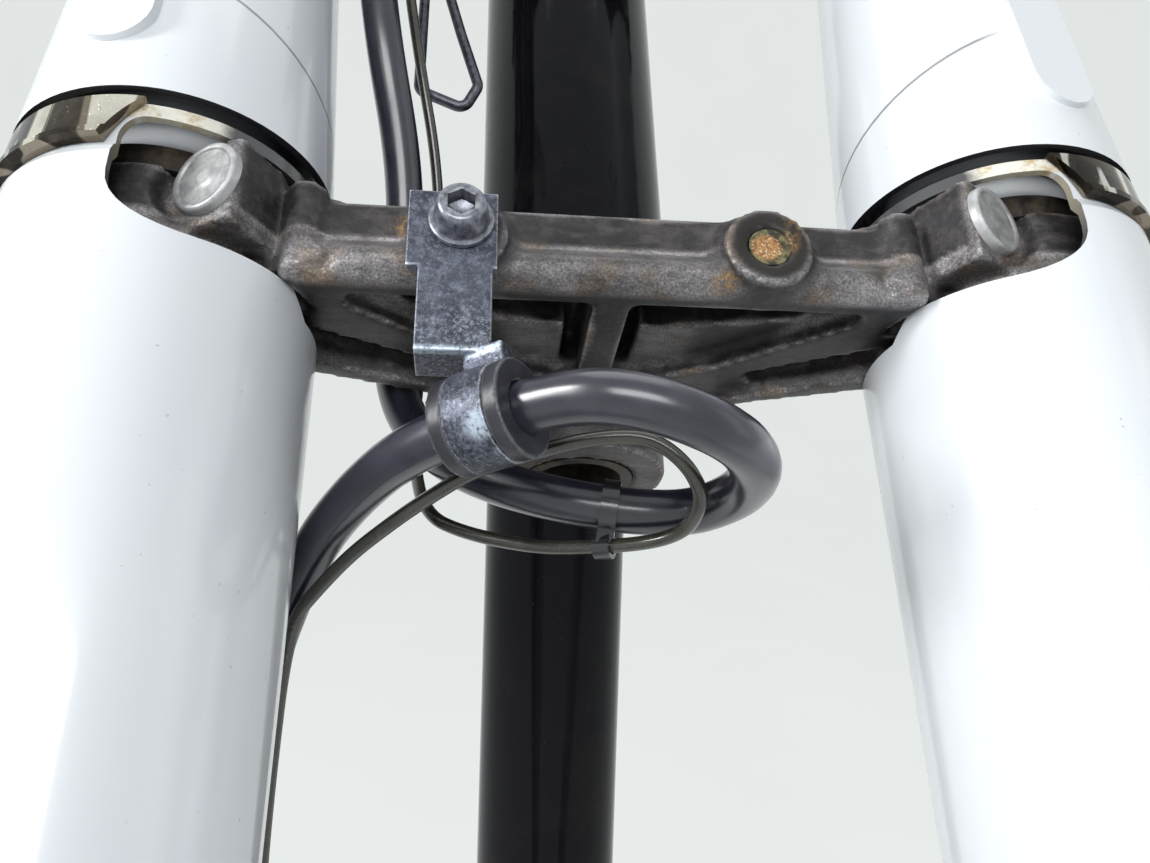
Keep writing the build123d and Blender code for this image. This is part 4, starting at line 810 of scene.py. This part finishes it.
def bar_screws():
    """Socket screws in the handlebar clamps' caps, and a hexagon plug in each fork cap."""
    head = [(2.9, -1.0), (4.4, -0.6), (4.6, -0.3), (4.6, 1.5), (4.3, 1.9), (3.4, 1.9), (2.1, 1.8, 6),
            (2.1, 0.2, 6), (0.3, 0.1)]
    plug = [(8.6, -0.4), (8.6, 0.3), (8.3, 0.5), (6.4, 0.5), (5.2, 0.4, 6), (5.2, 0.05, 6), (0.4, 0.05)]
    up = (0, 0, 1)
    for side, sign in SIDES.items():
        for row, reach in (("front", -BAR_SCREW_REACH), ("rear", BAR_SCREW_REACH)):
            place = (sign * BAR_X, BAR_Y + reach, UPPER_YOKE_TOP + BAR_RISE + BAR_CAP)
            turned("bar_screw_" + row + "_" + side, place, up, head, PLATED_STEEL)
        turned("cap_plug_" + side, (sign * LEG_X, LEG_Y, CAP_TOP), up, plug, PLATED_STEEL)


def cord(name, node, route, radius, material):
    """A held cord as a smooth round curve along its route, in place of its plain solid."""
    curve = bpy.data.curves.new(name, "CURVE")
    curve.dimensions = "3D"
    curve.bevel_depth = radius * MM
    curve.bevel_resolution = 8
    curve.resolution_u = 12
    curve.use_fill_caps = True
    spline = curve.splines.new("NURBS")
    spline.points.add(len(route) - 1)
    for point, place in zip(spline.points, route):
        point.co = (*(FORK @ Vector(place)), 1.0)
    spline.order_u = 3
    spline.use_endpoint_u = True
    curve.materials.append(material)
    return ride(bpy.data.objects.new(name, curve), node)


def seen_share(tree):
    """1 for rays that see a backdrop, straight or in a reflection, and 0 for the light that it gives."""
    seen = tree.nodes.new("ShaderNodeLightPath").outputs
    share = seen["Is Camera Ray"]
    for kind in ("Is Glossy Ray", "Is Transmission Ray"):
        either = tree.nodes.new("ShaderNodeMath")
        either.operation = "MAXIMUM"
        tree.links.new(share, either.inputs[0])
        tree.links.new(seen[kind], either.inputs[1])
        share = either.outputs["Value"]
    return share


def stage():
    """A plain pale floor that sweeps up into a backdrop."""
    low = CAD_BOX[0][2] - FLOOR_GAP
    profile = [(-SWEEP_FRONT, low)]
    for i in range(SWEEP_STEPS + 1):
        turn = math.pi / 2 * i / SWEEP_STEPS
        profile.append((SWEEP_BACK - SWEEP_BEND + SWEEP_BEND * math.sin(turn),
                        low + SWEEP_BEND - SWEEP_BEND * math.cos(turn)))
    profile.append((SWEEP_BACK, low + SWEEP_WALL))
    mesh = bpy.data.meshes.new("studio_sweep")
    bm = bmesh.new()
    rows = [[bm.verts.new((x, y, z)) for y, z in profile] for x in (-SWEEP_HALF_WIDTH, SWEEP_HALF_WIDTH)]
    for i in range(len(profile) - 1):
        face = bm.faces.new((rows[0][i], rows[1][i], rows[1][i + 1], rows[0][i + 1]))
        face.smooth = True
    bm.to_mesh(mesh)
    bm.free()
    sweep = bpy.data.objects.new("studio_sweep", mesh)
    bpy.context.scene.collection.objects.link(sweep)
    n = Nodes("studio_floor")
    cloud = n.noise(400.0, 2.0)
    n.set(Base_Color=n.mix(cloud, rgb(0.76, 0.755, 0.73), rgb(0.80, 0.795, 0.775)), Roughness=0.8)
    glow = n.add("ShaderNodeEmission", {"Color": n.mix(cloud, rgb(0.86, 0.90, 0.89), rgb(0.90, 0.94, 0.93))})
    blend = n.add("ShaderNodeMixShader", {"Fac": n.times(seen_share(n.tree), SWEEP_GLOW)})
    n.put(n.shader.outputs["BSDF"], blend.inputs[1])
    n.put(glow.outputs["Emission"], blend.inputs[2])
    n.put(blend.outputs["Shader"], n.tree.nodes["Material Output"].inputs["Surface"])
    mesh.materials.append(n.material)


def lights():
    """The lamps, and a world that is dimmer as light than it looks."""
    for name, (place, size, power) in LAMPS.items():
        light = bpy.data.lights.new(name, "AREA")
        light.shape = "RECTANGLE"
        light.size, light.size_y = size
        light.energy = power
        lamp = bpy.data.objects.new(name, light)
        lamp.location = place
        lamp.rotation_euler = (Vector(LIT_POINT) - Vector(place)).to_track_quat("-Z", "Y").to_euler()
        bpy.context.scene.collection.objects.link(lamp)
    world = bpy.data.worlds.new("studio_world")
    world.use_nodes = True
    tree = world.node_tree
    backgrounds = (tree.nodes["Background"], tree.nodes.new("ShaderNodeBackground"))
    blend = tree.nodes.new("ShaderNodeMixShader")
    tree.links.new(seen_share(tree), blend.inputs[0])
    tones = ((WORLD_LIGHT, rgb(0.93, 0.96, 1.0)), (WORLD_SEEN, rgb(0.955, 1.0, 0.99)))
    for slot, (background, (strength, colour)) in enumerate(zip(backgrounds, tones), 1):
        background.inputs["Color"].default_value = colour
        background.inputs["Strength"].default_value = strength
        tree.links.new(background.outputs[0], blend.inputs[slot])
    tree.links.new(blend.outputs[0], tree.nodes["World Output"].inputs["Surface"])
    bpy.context.scene.world = world


def camera():
    """The camera at the photograph's place, in metres and degrees."""
    data = bpy.data.cameras.new("photo_camera")
    data.lens = LENS
    data.sensor_width = SENSOR
    data.sensor_fit = "HORIZONTAL"
    data.clip_start = 0.01
    cam = bpy.data.objects.new("photo_camera", data)
    yaw = Matrix.Rotation(math.radians(CAMERA_YAW), 4, "Z")
    pitch = Matrix.Rotation(math.radians(90 + CAMERA_PITCH), 4, "X")
    roll = Matrix.Rotation(math.radians(CAMERA_ROLL), 4, "Z")
    cam.matrix_world = Matrix.Translation(CAMERA_AT) @ yaw @ pitch @ roll
    bpy.context.scene.collection.objects.link(cam)
    bpy.context.scene.camera = cam


camera()
dress_nodes()
softened("cast_yoke", "lower_yoke", "yoke_casting", voxel=0.95, smooth=4, blocks=yoke_blocks(),
         spots=RUST_SPOTS, wear_and_highlight=yoke_wear_and_highlight, grime_and_shade=yoke_dark_face)
softened("cast_top", "upper_yoke", "top_casting", voxel=1.3, smooth=3)
softened("strap_and_band", "hose_bracket", "zinc_strap", voxel=0.34, smooth=3, wear_and_highlight=strap_wear_and_highlight)
softened("rubber_spool", "hose_grommet", "rubber_black", voxel=0.34, smooth=3)
pinch_bolts()
clamp_collars()
bracket_screw()
boss_thread()
bar_screws()
cord("hose_tube", "brake_hose", HOSE_ROUTE, HOSE_R, HOSE_BLACK)
cord("cable_tube", "thin_cable", CABLE_ROUTE, CABLE_R, CABLE_SKIN)
stage()
lights()
bpy.context.scene.view_settings.view_transform = "Standard"
